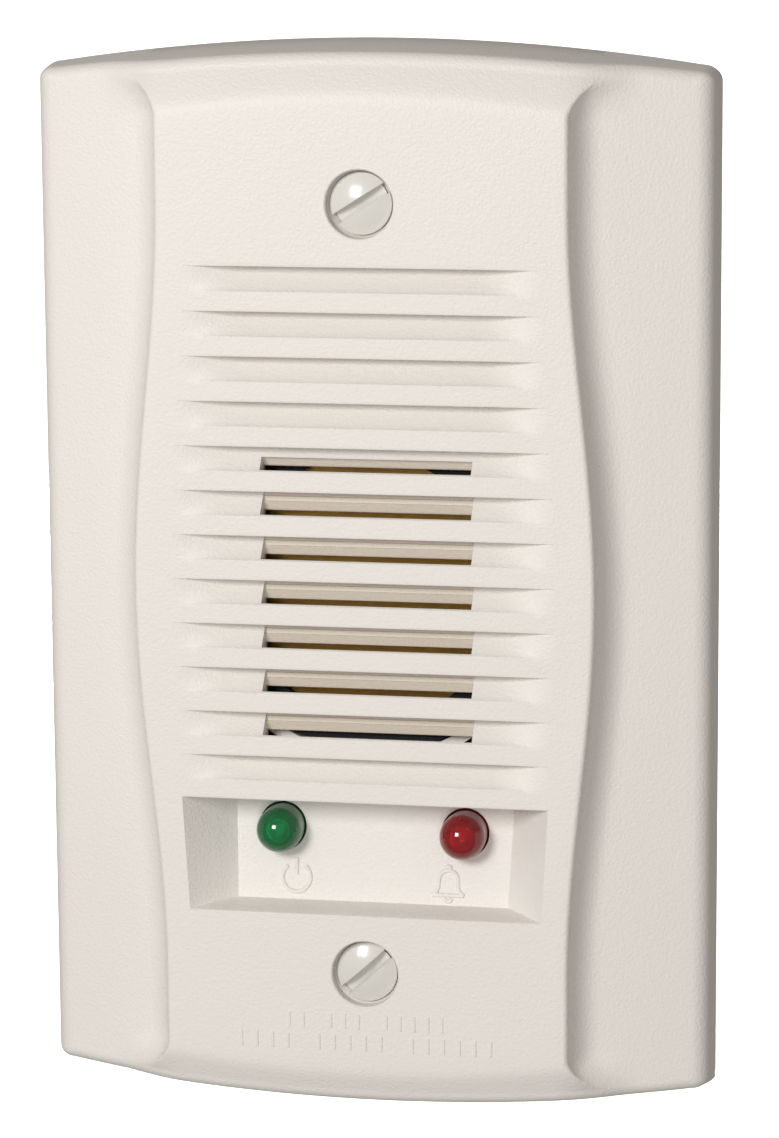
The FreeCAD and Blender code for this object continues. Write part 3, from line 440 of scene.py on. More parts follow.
def board_laminate():
    """Glass-epoxy board: tan laminate with its cloth weave faintly telegraphed through lacquer."""
    material, tree, place = new_material("glass_epoxy_board")
    base = tone("board")
    weave = [add_node(tree, "ShaderNodeTexWave",
                      {"Scale": WEAVE_SCALE, "Distortion": 0.6, "Detail": 1.0}, {"Vector": place},
                      wave_type="BANDS", bands_direction=way) for way in ("X", "Z")]
    cross = add_node(tree, "ShaderNodeMath", None, {0: (weave[0], "Fac"), 1: (weave[1], "Fac")},
                     operation="MULTIPLY"), "Value"
    add_surface(tree, {"Roughness": 0.3, "IOR": 1.52, "Coat Weight": 0.3},
                {"Base Color": add_tones(tree, dimmed(base, 0.8), base, cross),
                 "Normal": add_relief(tree, 0.01, cross, 0.6)})
    return material


# Slot of the record: name, colour, grain and relief in millimetres, roughness, other settings.
GRAINED = {
    "black_nylon": ("black_nylon", "#1b1b1c", 0.5, 0.01, 0.5, {}),
    "foam": ("closed_cell_foam", "#26262a", 0.45, 0.08, 0.85, {}),
    "piezo_ceramic": ("silvered_ceramic", "#c9c6b8", 0.2, 0.006, 0.45, {}),
    "black_plastic": ("moulded_black_abs", "#1d1d1f", 0.5, 0.014, 0.42,
                      {"spread": 0.08, "tint": 0.15}),
    "red_insulation": ("red_pvc", "#b01f1c", 0.6, 0.006, 0.4, {}),
    "black_insulation": ("black_pvc", "#202022", 0.6, 0.006, 0.4, {}),
    "terminal_plastic": ("moulded_nylon", "block", 0.6, 0.01, 0.38, {"tint": 0.08}),
    "jumper_plastic": ("moulded_pbt", "jumper", 0.5, 0.01, 0.4, {}),
    "chip_epoxy": ("transfer_moulded_epoxy", "#232325", 0.25, 0.01, 0.6, {}),
    "capacitor_sleeve": ("shrunk_sleeve", "#1c2340", 1.2, 0.004, 0.2, {}),
    "ferrite": ("pressed_ferrite", "#3b3b3d", 0.3, 0.012, 0.6, {}),
    "resistor_lacquer": ("resistor_lacquer", "#d0b184", 0.5, 0.004, 0.25, {}),
}
# Slot of the record: name, colour, roughness, other settings.
METALS = {
    "tinned_wire": ("tinned_wire", "#c9c9c6", 0.28, {}),
    "brass": ("rolled_brass", "#c9a45c", 0.3, {}),
    "zinc_steel": ("zinc_plated_steel", "#c4c7c9", 0.34, {}),
    "tinned_brass": ("tinned_brass", "#cfccc0", 0.3, {}),
    "enamelled_copper": ("enamelled_copper", "#b4622e", 0.25,
                         {"lay": 0.05, "bump": 0.01, "along": (1.0, 14.0, 1.0)}),
}
OTHERS = {
    "cover_plastic": cover_plastic,
    "painted_steel": screw_enamel,
    "green_epoxy": lambda: lamp_epoxy("green_cast_epoxy", tone("green")),
    "red_epoxy": lambda: lamp_epoxy("red_cast_epoxy", tone("red")),
    "board_laminate": board_laminate,
}
FINISHES = {}


def finish_of(slot):
    """The material of one of the record's slots, made once."""
    if slot not in FINISHES:
        if slot in OTHERS:
            FINISHES[slot] = OTHERS[slot]()
        else:
            make, table = (metal, METALS) if slot in METALS else (grain_surface, GRAINED)
            name, code, *measures, more = table[slot]
            FINISHES[slot] = make(name, tone(code), *measures, **more)
    return FINISHES[slot]


# ---------------------------------------------------------------- cover
def bulge(z):
    """A cosine hump: 1 in the middle of the plate, 0 from CREST_RUN outwards."""
    near = np.minimum(np.abs(z), CREST_RUN)
    return 0.5 + 0.5 * np.cos(math.pi * near / CREST_RUN)


def crest_half(z):
    """Half width of the raised panel: a cosine bulge on the straight half width."""
    return CREST_HALF + CREST_BULGE * bulge(z)


def groove_half(z):
    """Half length of a groove: it follows the panel's bulge."""
    return GROOVE_HALF + GROOVE_BULGE * bulge(z)


def wing(x):
    """Height of the sloping wings: it falls evenly towards the sides."""
    return WING_EDGE + (HALF_WIDE - np.abs(x)) * WING_FALL


def end_sag(x):
    """How far the bowed ends lie below their middle: the square of x."""
    return EDGE_SAG * (x / HALF_WIDE) ** 2


def end_height(x, way=1):
    """Height of the plate at its upper (1) and lower (-1) end: a crowned panel that melts
    into the wings."""
    peak = np.where(np.asarray(way) > 0, END_HEIGHT, LOW_END_HEIGHT)
    panel = peak - END_CROWN * (x / CROWN_HALF) ** 2
    share = 1 - smooth_step((np.abs(x) - 20.5) / 8.5)
    return wing(x) + (panel - wing(x)) * share


START, STOP = math.radians(12), math.radians(83)
REACH = math.sin(STOP) - math.sin(START)
DROP = math.cos(START) - math.cos(STOP)


def end_line(x, way=1):
    """Where the front stops and the rounding of the upper (1) or lower (-1) end begins."""
    foot = end_height(x, way) - END_ROUND * DROP
    draft = np.where(np.asarray(way) > 0, DRAFT, LOW_DRAFT)
    return HALF_TALL - end_sag(x) - foot * draft - END_ROUND * REACH


def side_line():
    """Where the front stops and the rounding of the side begins."""
    x = HALF_WIDE - 2.0
    for _ in range(20):
        x = HALF_WIDE - (wing(x) - SIDE_ROUND * DROP) * DRAFT - SIDE_ROUND * REACH
    return float(x)


def groove_top(index):
    """Height of a groove's upper edge, counted from 1 at the top."""
    return GROOVE_TOP - (index - 1) * GROOVE_PITCH


def cover_rows():
    """Heights of the grid's rows, from the top: fine at lips, walls and feet."""
    tip, bend = float(end_line(0.0)), SHOULDER - SHOULDER_ROWS
    quarter = np.sin(np.radians([0, 30, 60, 90]))
    rows = [lines((tip, 20), (bend, 14), (46.0, 12), (GROOVE_TOP + 0.6, 1))]
    for index in range(1, GROOVES + 1):
        top = groove_top(index)
        foot = top - GROOVE_OPEN
        rows.append(top + GROOVE_LIP * (1 - quarter))
        rows.append(lines((top - 0.02, 4), (top - GROOVE_OPEN / 2, 4), (foot, 1)))
        rows.append(lines((foot - GROOVE_STEP / 2, 1), (foot - GROOVE_STEP, 3),
                          (top - GROOVE_PITCH + 0.4, 1)))
    rows.append(RECESS_TOP + RECESS_LIP * (1 - quarter))
    rows.append(lines((RECESS_TOP - 0.02, 14), (RECESS_LOW + RECESS_FOOT, 4), (RECESS_LOW, 1)))
    rows.append(RECESS_LOW - RECESS_LIP * quarter[1:])
    rows.append(lines((RECESS_LOW - 0.7, 12), (-46.0, 14), (-bend, 20), (-tip, 1)))
    return -np.unique(-np.round(np.concatenate(rows), 5))


def cover_columns(z):
    """Distances of the grid's lines from the centre line, and the plain height on each.

    Lines follow the slot ends, groove ends and the panel's side, so they bend with its bulge:
    a rounded lip, a short wall, then a hollow that meets the wing without a corner.
    """
    z = z[:, None]
    crest = crest_half(z) + CREST_FLARE * smooth_step((np.abs(z) - FLARE_START) / FLARE_RUN)
    in_recess = (smooth_step((RECESS_TOP + 1.6 - z) / 1.2)
                 * smooth_step((z - RECESS_LOW + 1.6) / 1.2))
    slot_end = SLOT_HALF + 0 * z
    ends = groove_half(z)
    recess_outer, recess_inner = recess_ends(z)
    outer = ends * (1 - in_recess) + recess_outer * in_recess
    inner = (ends - GROOVE_RAMP) * (1 - in_recess) + recess_inner * in_recess
    turn = math.radians(90) - math.atan(WING_FALL)
    spare = (FRONT - CREST_LIP - wing(crest)) / (math.sin(turn) - (1 - math.cos(turn)) * WING_FALL)
    hollow = np.minimum(CREST_HOLLOW, 0.98 * spare)
    join_x = crest + hollow * (1 - math.cos(turn))
    start_h = wing(join_x) + hollow * math.sin(turn)
    lip = np.radians(np.linspace(0, 90, 7))
    bend = np.linspace(0, turn, 15)
    across = [np.linspace(0, 1, 9)[:-1] * slot_end,
              slot_end + np.linspace(0, 1, 5)[:-1] * (inner - slot_end),
              inner + np.linspace(0, 1, 11)[:-1] * (outer - GROOVE_ROUND - inner),
              outer + np.array([-GROOVE_ROUND, 0.0, GROOVE_ROUND]),
              outer + GROOVE_ROUND
              + np.linspace(0, 1, 4)[1:-1] * (crest - CREST_LIP - outer - GROOVE_ROUND),
              crest - CREST_LIP + CREST_LIP * np.sin(lip),
              crest + hollow * (1 - np.cos(bend)),
              join_x + np.linspace(0, 1, 12)[1:] * (side_line() - join_x)]
    flat = sum(part.shape[1] for part in across[:5])
    height = [FRONT + 0 * z + np.zeros(flat), FRONT - CREST_LIP * (1 - np.cos(lip)) + 0 * z,
              start_h - hollow * np.sin(bend), wing(across[-1])]
    first = flat
    last = flat + len(lip) + len(bend) - 1
    across, height = np.concatenate(across, 1), np.concatenate(height, 1)
    # At the ends the panel's side spreads out and melts into the wing.
    away = smooth_step((np.abs(z) - MELT_START) / MELT_RUN)
    spread = across.copy()
    share = np.linspace(0, 1, last - first + 1)
    spread[:, first:last + 1] = (crest - 0.7) + share * MELT_SPREAD
    edge = spread[:, last:last + 1]
    tail = np.linspace(0, 1, across.shape[1] - last)
    spread[:, last:] = edge + tail * (side_line() - edge)
    return across + (spread - across) * away, height


def lip_depth(z, edge, radius):
    """A quarter round above an edge: radius at the edge, 0 a radius above it."""
    above = np.clip((z - edge) / radius, 0, 1)
    return radius * (1 - np.sqrt(1 - (1 - above) ** 2))


def cover_depth(x, z):
    """Depth of the grooves and of the recess below the panel's face."""
    depth = np.zeros_like(x)
    ramp = smooth_step((groove_half(z) - np.abs(x)) / GROOVE_RAMP)
    for index in range(1, GROOVES + 1):
        top = groove_top(index)
        share = (top - z) / GROOVE_OPEN
        floor = GROOVE_FOOT + (GROOVE_DEPTH - GROOVE_FOOT) * (1 - share)
        inside = (z < top - 0.01) & (z > top - GROOVE_OPEN - 0.001)
        depth = np.where(inside, floor * ramp, depth)
        below = (top - GROOVE_OPEN - z) / GROOVE_STEP
        on_step = (below > 0.001) & (below < 1)
        depth = np.where(on_step, GROOVE_FOOT * (1 - below) * ramp, depth)
        on_lip = (z >= top - 0.01) & (z < top + GROOVE_LIP)
        depth = np.where(on_lip, lip_depth(z, top, GROOVE_LIP) * ramp, depth)
    return depth + recess_depth(x, z)


def recess_floor(z):
    """Depth of the recess floor: deepest at the top, rising evenly towards the bottom."""
    low_part = (RECESS_TOP - z) / (RECESS_TOP - RECESS_LOW)
    return RECESS_DEPTH - RECESS_RISE * low_part


def recess_ends(z):
    """Where the slanting ends of the recess start at the face, and where they meet its floor."""
    low_part = np.clip((RECESS_TOP - z) / (RECESS_TOP - RECESS_LOW), 0, 1)
    return 20.0 - 0.7 * low_part, 15.4 - 0.5 * low_part


def recess_depth(x, z):
    """Depth of the lamp recess: slanting ends, a flat floor, a steep foot and rounded lips."""
    outer, inner = recess_ends(z)
    side = np.clip((outer - np.abs(x)) / (outer - inner), 0, 1)
    foot = np.clip((z - RECESS_LOW) / RECESS_FOOT, 0, 1)
    inside = (z < RECESS_TOP - 0.01) & (z > RECESS_LOW - 0.01)
    depth = np.where(inside, recess_floor(z) * np.minimum(side, 0.04 + 0.96 * foot), 0)
    depth = np.where(inside & (side <= 0), 0, depth)
    lip = lip_depth(z, RECESS_TOP, RECESS_LIP)
    on_lip = (z >= RECESS_TOP - 0.01) & (z < RECESS_TOP + RECESS_LIP)
    return np.where(on_lip, np.minimum(lip, side * RECESS_DEPTH), depth)


def off_centre(x):
    """The slots stand a little to the right of the middle: lines there move, the rest stay."""
    return x + SLOT_SHIFT * (1 - smooth_step((np.abs(x) - SLOT_HALF - 0.3) / 5.0))


def to_ends(z, line):
    """Spreads the rows beyond STRETCH evenly, so the last one lies on the line."""
    past = np.abs(z) - STRETCH
    share = past / (end_line(0.0) - STRETCH)
    return np.where(past > 0, np.sign(z) * (STRETCH + share * (line - STRETCH)), z)


def front_sheet(rows):
    """The visible face as a grid: distance across, height above the wall and height up."""
    half, plain = cover_columns(rows)
    x = off_centre(np.concatenate([-half[:, :0:-1], half], 1))
    height = np.concatenate([plain[:, :0:-1], plain], 1)
    z = rows[:, None] + 0 * x
    z = to_ends(z, end_line(x, np.sign(z)))
    # The shoulders: the face bends softly down to the crowned ends.
    start = SHOULDER - SHOULDER_BOW * (np.minimum(np.abs(x), 24.0) / CROWN_HALF) ** 2
    fall = np.abs(z) - start
    soft = 0.5 * (np.sqrt(fall ** 2 + SHOULDER_BEND ** 2) + fall)
    share = soft / (end_line(x, np.sign(z)) - start)
    share = np.clip(share - 0.008, 0, 1)
    height = height + (end_height(x, np.sign(z)) - height) * share
    height = height - cover_depth(x, z)
    return x, height, z


def back_sheet(rows, columns):
    """The hollow back as a grid that matches the front: stepped floors behind wings and panel."""
    half_count = columns // 2
    stops = [0, 8, 9, 14, 15, 30, 31, half_count - 2, half_count]
    places = [0, SLOT_HALF, SLOT_HALF + 0.25, 19.6, 20.0, 28.0, 28.5, 33.6, 34.2]
    half = np.interp(np.arange(half_count + 1), stops, places)
    x = off_centre(np.concatenate([-half[:0:-1], half]))[None, :] + 0 * rows[:, None]
    z = rows[:, None] + 0 * x
    for index in SLOTS:
        foot = groove_top(index) - GROOVE_OPEN
        land = groove_top(index) - GROOVE_PITCH + GROOVE_LIP
        slide = np.clip((z - land) / (foot - land), 0, 1)
        on_land = (z <= foot + 0.001) & (z >= land)
        z = np.where(on_land & (np.abs(x - SLOT_SHIFT) < SLOT_HALF + 1), z - SLAT_FALL * slide, z)
    z = to_ends(z, HALF_TALL - end_sag(x) - RIM_WIDE)
    depth = RIM_FLOOR + 0 * x
    level = np.abs(rows)[:, None]
    depth = np.where((np.abs(x) < 28.2) & (level < BACK_HOLLOW), WING_FLOOR, depth)
    under_panel = np.abs(x) < 19.8
    depth = np.where(under_panel & (level < BACK_HOLLOW - 2.5), FRONT - WALL_THICK, depth)
    housing = (z < RECESS_TOP + 1.7) & (z > RECESS_LOW - 2.2) & under_panel
    depth = np.where(housing, HOUSING_FLOOR, depth)
    window = (np.abs(x - SLOT_SHIFT) < SLOT_HALF + 0.1) & (z < groove_top(FIRST_SLOT) + 0.001) \
        & (z > groove_top(LAST_SLOT) - GROOVE_OPEN - SLAT_FALL - 0.05)
    depth = np.where(window, FRONT - SLAT_THICK, depth)
    return x, depth, z


def slot_mask(rows, x):
    """True on the grid's quads that are kept: the through slots are left out."""
    kept = np.ones((len(rows) - 1, x.shape[1] - 1), bool)
    mid_z = (rows[:-1] + rows[1:])[:, None] / 2
    mid_x = np.abs((x[:-1, :-1] + x[:-1, 1:]) / 2 - SLOT_SHIFT)
    for index in SLOTS:
        top = groove_top(index) - (GROOVE_OPEN / 2 if index == FIRST_SLOT else 0)
        low = groove_top(index) - GROOVE_OPEN
        kept &= ~((mid_z < top) & (mid_z > low) & (mid_x < SLOT_HALF - 0.01))
    return kept


def slot_walls(kept, columns, back):
    """Quads that join the front sheet to the back sheet round every opening."""
    index = np.arange((kept.shape[0] + 1) * columns).reshape(-1, columns)
    walls = []
    above, below = kept[:-1], kept[1:]
    left, right = kept[:, :-1], kept[:, 1:]
    near, far = index[1:-1, :-1], index[1:-1, 1:]
    high, low = index[:-1, 1:-1], index[1:, 1:-1]
    for here, first, second in ((above & ~below, far, near), (below & ~above, near, far),
                                (right & ~left, low, high), (left & ~right, high, low)):
        a, b = first[here], second[here]
        walls.append(np.stack([a, b, b + back, a + back], -1))
    return np.concatenate(walls)


def edge_loop(rows, columns, turns=6):
    """Indices round the grid, anticlockwise from the front, each with its outward angle.

    A corner is repeated, its angle turning from one side's to the next, so it can be rounded.
    """
    index = np.arange(rows * columns).reshape(rows, columns)
    sides = [(index[1:-1, 0], 180), (index[-1, 1:-1], 270), (index[-2:0:-1, -1], 360),
             (index[0, -2:0:-1], 450)]
    corners = [index[-1, 0], index[-1, -1], index[0, -1], index[0, 0]]
    loop, angle = [], []
    for (side, facing), corner in zip(sides, corners):
        loop += [side, np.full(turns + 1, corner)]
        angle += [np.full(len(side), facing), np.linspace(facing, facing + 90, turns + 1)]
    return np.concatenate(loop), np.radians(np.concatenate(angle))


def cover_shell():
    """Front sheet, rounded edges, drafted walls, flat rim and hollow back, as one closed shell."""
    rows = cover_rows()
    front = np.stack(front_sheet(rows), -1)
    columns = front.shape[1]
    back = np.stack(back_sheet(rows, columns), -1)
    kept = slot_mask(rows, front[..., 0])
    quads = grid_quads(len(rows), columns)[kept.ravel()]
    count = len(rows) * columns
    walls = slot_walls(kept, columns, count)
    loop, angle = edge_loop(len(rows), columns)
    base = front.reshape(-1, 3)[loop]
    out = np.stack([np.cos(angle), np.sin(angle)], -1)
    radius = SIDE_ROUND * out[:, 0] ** 2 + END_ROUND * out[:, 1] ** 2
    rings = []
    for turn in np.linspace(START, STOP, 9)[1:]:
        reach = (math.sin(turn) - math.sin(START)) * out * [SIDE_ROUND, END_ROUND]
        drop = radius * (math.cos(START) - math.cos(turn))
        rings.append(np.stack([base[:, 0] + reach[:, 0], base[:, 1] - drop,
                               base[:, 2] + reach[:, 1]], -1))
    foot = rings[-1]
    lean = np.where(out[:, 1] < -0.5, LOW_DRAFT, DRAFT)
    for share in (0.5, 0.96, 1.0):
        level = foot[:, 1] * (1 - share)
        step = (foot[:, 1] - level) * lean - (0.12 if share == 1.0 else 0.0)
        rings.append(np.stack([foot[:, 0] + out[:, 0] * step, level,
                               foot[:, 2] + out[:, 1] * step], -1))
    inner = back.reshape(-1, 3)[loop]
    rings.append(inner * [1, 0, 1])
    rings.append(inner * [1, 0.5, 1])
    rings = np.concatenate([rings, [inner]])
    around = len(loop)
    start = 2 * count
    ring_index = start + np.arange(len(rings) * around).reshape(-1, around)
    ring_index = np.concatenate([loop[None], ring_index])
    following = np.roll(ring_index, -1, axis=1)
    strip = np.stack([following[:-1], ring_index[:-1], ring_index[1:], following[1:]], -1)
    points = np.concatenate([front.reshape(-1, 3), back.reshape(-1, 3), rings.reshape(-1, 3)])
    points = np.stack([points[:, 0], -points[:, 1], points[:, 2]], -1)
    faces = np.concatenate([quads, quads[:, ::-1] + count, walls, strip.reshape(-1, 4)])
    return points, faces


def screw_places():
    """Axis (x, z), head radius and front and back ends of both mounting screws."""
    places = []
    for name in ("upper_mounting_screw", "lower_mounting_screw"):
        low, high = node_box(name)
        places.append((name, axis(name), (high[0] - low[0]) / 2, low[1], high[1]))
    return places


def lamp_places():
    """Axis (x, z) and front and back ends of both lamps."""
    ends = [(name, *node_box(name)) for name in ("power_lamp", "alarm_lamp")]
    return [(name, axis(name), low[1], high[1]) for name, low, high in ends]


def cover_cutters():
    """Countersinks and holes for the two screws, and the two lamp holes."""
    cutters = []
    for _, centre, radius, low, _ in screw_places():
        seat = low + HEAD_CROWN + 0.1
        sink = radius + 0.33
        cutters.append(turned([(0, -FRONT - 1), (sink + 0.12, -FRONT - 1), (sink + 0.12, -FRONT),
                               (sink, -FRONT + 0.12), (sink, seat), (2.0, seat + 1.9),
                               (2.0, -1.0), (2.0, 1.0), (0, 1.0)], centre))
    for _, centre, _, _ in lamp_places():
        cutters.append(turned([(0, -FRONT), (LAMP_HOLE, -FRONT), (LAMP_HOLE, -1.0), (0, -1.0)],
                              centre))
    return cutters


def blade_bars():
    """The rain blade behind each slot: a slanting strip with a small step half way down.

    Each is a profile of (depth, height) points carried straight along X.
    """
    parts = []
    for index in SLOTS:
        top = groove_top(index)
        head = top - GROOVE_OPEN / 2 if index == FIRST_SLOT else top
        low = top - GROOVE_OPEN + 0.15
        profile = np.array([(2.95, head + 0.4), (2.8, head + 0.05), (2.45, top - 0.75),
                            (2.28, top - 0.8), (2.12, top - 1.25), (1.96, top - 1.3),
                            (2.4, low + 0.06), (2.5, low), (3.0, low), (3.7, head + 0.4)])
        if index == FIRST_SLOT:
            profile = np.delete(profile, [2, 3], axis=0)
        profile[:, 0] -= FRONT
        half = SLOT_HALF + 0.2
        sections = np.stack([np.concatenate([np.full((len(profile), 1), x), profile], 1)
                             for x in np.linspace(SLOT_SHIFT - half, SLOT_SHIFT + half, 3)])
        faces = grid_quads(3, len(profile), closed=True).tolist()
        faces.append(list(range(len(profile)))[::-1])
        faces.append([2 * len(profile) + k for k in range(len(profile))])
        parts.append((sections.reshape(-1, 3), faces))
    return joined(*parts)


def ring(inner, outer, floor, top, centre, segments):
    """A turned ring from the floor to its top, where both edges are bevelled by 0.2 mm."""
    return turned([(inner, floor), (outer, floor), (outer, top - 0.2), (outer - 0.2, top),
                   (inner + 0.2, top), (inner, top - 0.2), (inner, floor)], centre, segments)


def back_features():
    """Screw bosses, board posts and the sounder's locating ring."""
    floor = -(FRONT - WALL_THICK) - 0.3
    parts = [ring(2.0, 5.2, floor, -0.5, centre, 48) for _, centre, _, _, _ in screw_places()]
    parts += [ring(1.3, 3.0, floor, 1.0, (x, z), 40)
              for x in (-19.5, 19.5) for z in (-30.0, 30.0)]
    return joined(*parts, ring(18.2, 19.4, floor, -4.5, (0, 0), 96))


class SOUNDER_OT_cover(bpy.types.Operator):
    """Moulded cover: plate, raised panel, grooves, slots, rain blades, recess and bosses"""
    bl_idname = "sounder.cover"
    bl_label = "Cover"

    def execute(self, context):
        shell = carve(make_mesh("louvred_cover", *cover_shell(), 24.0), cover_cutters(), 24.0)
        add_piece("louvred_cover", shell, "housing", "cover_plastic", "front_cover")
        # The rain blades are the cover's own plastic; their darker, warmer colour is painted shade
        # for their place deep in the slots.
        add_piece("rain_blades", make_mesh("rain_blades", *blade_bars(), 20.0), "housing",
                  "cover_plastic", material=cover_plastic("bare_abs", tone("blade")))
        add_piece("cover_bosses", make_mesh("cover_bosses", *back_features()), "housing",
                  "cover_plastic")
        return {"FINISHED"}


# ---------------------------------------------------------------- markings
def ridge(path, width, height, closed=False):
    """A low raised stroke along a path of (x, z) points on the face y = 0, half round in section.

    Each section is spread sideways by the path's normal; points are (x, rise, z).
    """
    path = np.asarray(path, float)
    ahead = np.roll(path, -1, 0) - path if closed else np.gradient(path, axis=0)
    if closed:
        ahead = ahead + (path - np.roll(path, 1, 0))
    ahead = ahead / np.linalg.norm(ahead, axis=1, keepdims=True)
    side = np.stack([-ahead[:, 1], ahead[:, 0]], -1)
    turn = np.linspace(0, math.pi, 7)
    across = np.concatenate([[1.0], np.cos(turn), [-1.0]]) * width / 2
    rise = np.concatenate([[-0.3], np.sin(turn) * height, [-0.3]])
    centre = path[:, None, :] + side[:, None, :] * across[None, :, None]
    points = np.stack([centre[..., 0], -rise[None, :] + 0 * centre[..., 0], centre[..., 1]], -1)
    count = len(across)
    if closed:
        points = np.concatenate([points, points[:1]])
    faces = grid_quads(len(points), count, closed=True).tolist()
    if not closed:
        faces.append(list(range(count))[::-1])
        faces.append([(len(points) - 1) * count + k for k in range(count)])
    return points.reshape(-1, 3), faces


def power_symbol(width, height):
    """An open ring with a short upright bar in its gap."""
    ring = arc((0, 0), 1.55, 90 + 38, 450 - 38, 40)
    return [ridge(ring, width, height), ridge(np.linspace((0, 0.35), (0, 2.1), 5), width, height)]


def bell_symbol(width, height):
    """A bell: a domed outline that flares to a straight foot, with a clapper below."""
    dome = arc((0, 0.35), 1.05, 0, 180, 20)
    left = np.array([(-1.05, 0.35), (-1.1, -0.4), (-1.25, -0.85), (-1.7, -1.25)])
    outline = np.concatenate([(left * [-1, 1])[::-1], dome[1:-1], left])
    foot = np.linspace((-1.7, -1.25), (1.7, -1.25), 9)
    clapper = arc((0, -1.45), 0.45, 200, 340, 8)
    knob = arc((0, 1.62), 0.22, -40, 220, 8)
    return [ridge(path, width, height) for path in (outline, foot, clapper, knob)]


def on_recess_floor(points, x, z):
    """Moves a marking drawn on y = 0 to a place on the sloping recess floor."""
    points = points + [x, 0, z]
    lift = -FRONT + recess_floor(points[:, 2])
    return np.stack([points[:, 0], points[:, 1] + lift, points[:, 2]], -1)


def word_ribs(z, words, step, width, tall, height):
    """Upright ribs in groups: what stands for a moulded line of small print."""
    count = sum(words) + len(words) - 1
    places, at = [], -(count - 1) / 2
    for word in words:
        places += [at + k for k in range(word)]
        at += word + 1
    parts = []
    for place in places:
        path = np.linspace((place * step, z - tall / 2), (place * step, z + tall / 2), 4)
        parts.append(ridge(path, width, height))
    return parts


class SOUNDER_OT_markings(bpy.types.Operator):
    """Raised lamp symbols on the recess floor and two lines of plain ribs below the lower screw"""
    bl_idname = "sounder.markings"
    bl_label = "Markings"

    def execute(self, context):
        width, height = sizes().mark_width / MM, sizes().mark_height / MM
        level = RECESS_TOP - 9.6
        drawn = (("power_symbol", power_symbol, "power_lamp", 1.7),
                 ("bell_symbol", bell_symbol, "alarm_lamp", -1.7))
        for name, draw, lamp, shift in drawn:
            x = float(axis(lamp)[0]) + shift
            points, faces = joined(*draw(width, height))
            mesh = make_mesh(name, on_recess_floor(points, x, level), faces, 50.0)
            add_piece(name, mesh, "housing", "cover_plastic")
        ribs = word_ribs(-47.0, (2, 3, 5), 1.53, 0.36, 1.7, 0.1)
        ribs += word_ribs(-49.4, (4, 5, 6), 1.72, 0.36, 1.7, 0.1)
        points, faces = joined(*ribs)
        mesh = make_mesh("word_ribs", points + [0, -FRONT, 0], faces, 50.0)
        add_piece("word_ribs", mesh, "housing", "cover_plastic")
        return {"FINISHED"}


# ---------------------------------------------------------------- lamps
def lamp_lens(centre, low, high):
    """Domed lens, barrel and foot flange, turned about the lamp's axis."""
    dome = arc((low + LAMP_RADIUS, 0), LAMP_RADIUS, 180, 90, 20)
    flange = high - 1.0
    profile = [(r, y) for y, r in dome]
    profile += [(LAMP_RADIUS, flange - 0.1), (LAMP_RADIUS + 0.1, flange), (2.8, flange),
                (2.9, flange + 0.1), (2.9, high - 0.1), (2.8, high), (0, high)]
    return turned(profile, centre, 72)


def lamp_cup(centre, low, high):
    """The chip's reflector cup and its post, inside the lens."""
    rim = low + 2.3
    profile = [(0, rim + 0.45), (0.35, rim + 0.45), (0.75, rim), (0.9, rim), (0.9, rim + 1.0),
               (0.45, rim + 1.3), (0.45, high - 0.2), (0, high - 0.2)]
    return turned(profile, centre, 40)


class SOUNDER_OT_lamps(bpy.types.Operator):
    """Green and red lamps: cast lens with the reflector cup inside"""
    bl_idname = "sounder.lamps"
    bl_label = "Lamps"

    def execute(self, context):
        for (name, *where), slot in zip(lamp_places(), ("green_epoxy", "red_epoxy")):
            lens = make_mesh(name + "_lens", *lamp_lens(*where), 40.0)
            add_piece(name + "_lens", lens, "housing", slot, name)
            cup = make_mesh(name + "_cup", *lamp_cup(*where), 40.0)
            add_piece(name + "_cup", cup, "housing", "tinned_wire")
        return {"FINISHED"}


# ---------------------------------------------------------------- mounting screws
def screw_body(centre, radius, low, high):
    """An oval head, a plain neck and a rolled thread, as one closed turned grid.

    On the shank the radius falls by a triangle wave of the height less the angle's share of
    a turn, which winds one groove round it.
    """
    segments = 64
    bow = radius ** 2 / (2 * HEAD_CROWN) + HEAD_CROWN / 2
    across = radius * np.sin(np.linspace(0, math.pi / 2, 13)[:-1])
    head = [(r, low + bow - math.sqrt(bow ** 2 - r ** 2)) for r in across]
    rim = low + HEAD_CROWN
    head += [(radius - 0.05, rim - 0.03), (radius, rim + 0.05), (radius, rim + 0.15),
             (1.55, rim + 1.9), (1.55, -0.5), (1.6, -0.35)]
    pitch = sizes().thread_pitch / MM
    start, tip = -0.3, high - 0.6
    levels = np.arange(start, tip, pitch / 8)
    profile = np.array(head + [(1.75, level) for level in levels]
                       + [(1.5, high - 0.25), (1.35, high), (0, high)])
    angle = np.linspace(0, 2 * math.pi, segments, endpoint=False)
    r = np.repeat(profile[:, :1], segments, 1)
    y = np.repeat(profile[:, 1:], segments, 1)
    on_thread = (y >= start) & (y < tip)
    phase = (y - start) / pitch - angle[None, :] / (2 * math.pi)
    wave = np.abs((phase % 1.0) * 2 - 1)
    fade = smooth_step((y - start) / pitch) * smooth_step((tip - y) / pitch + 0.3)
    r = np.where(on_thread, r - 0.42 * np.clip(1.15 * wave - 0.1, 0, 1) * fade, r)
    points = np.stack([centre[0] + r * np.cos(angle), y, centre[1] + r * np.sin(angle)], -1)
    return points.reshape(-1, 3), grid_quads(len(profile), segments, closed=True)


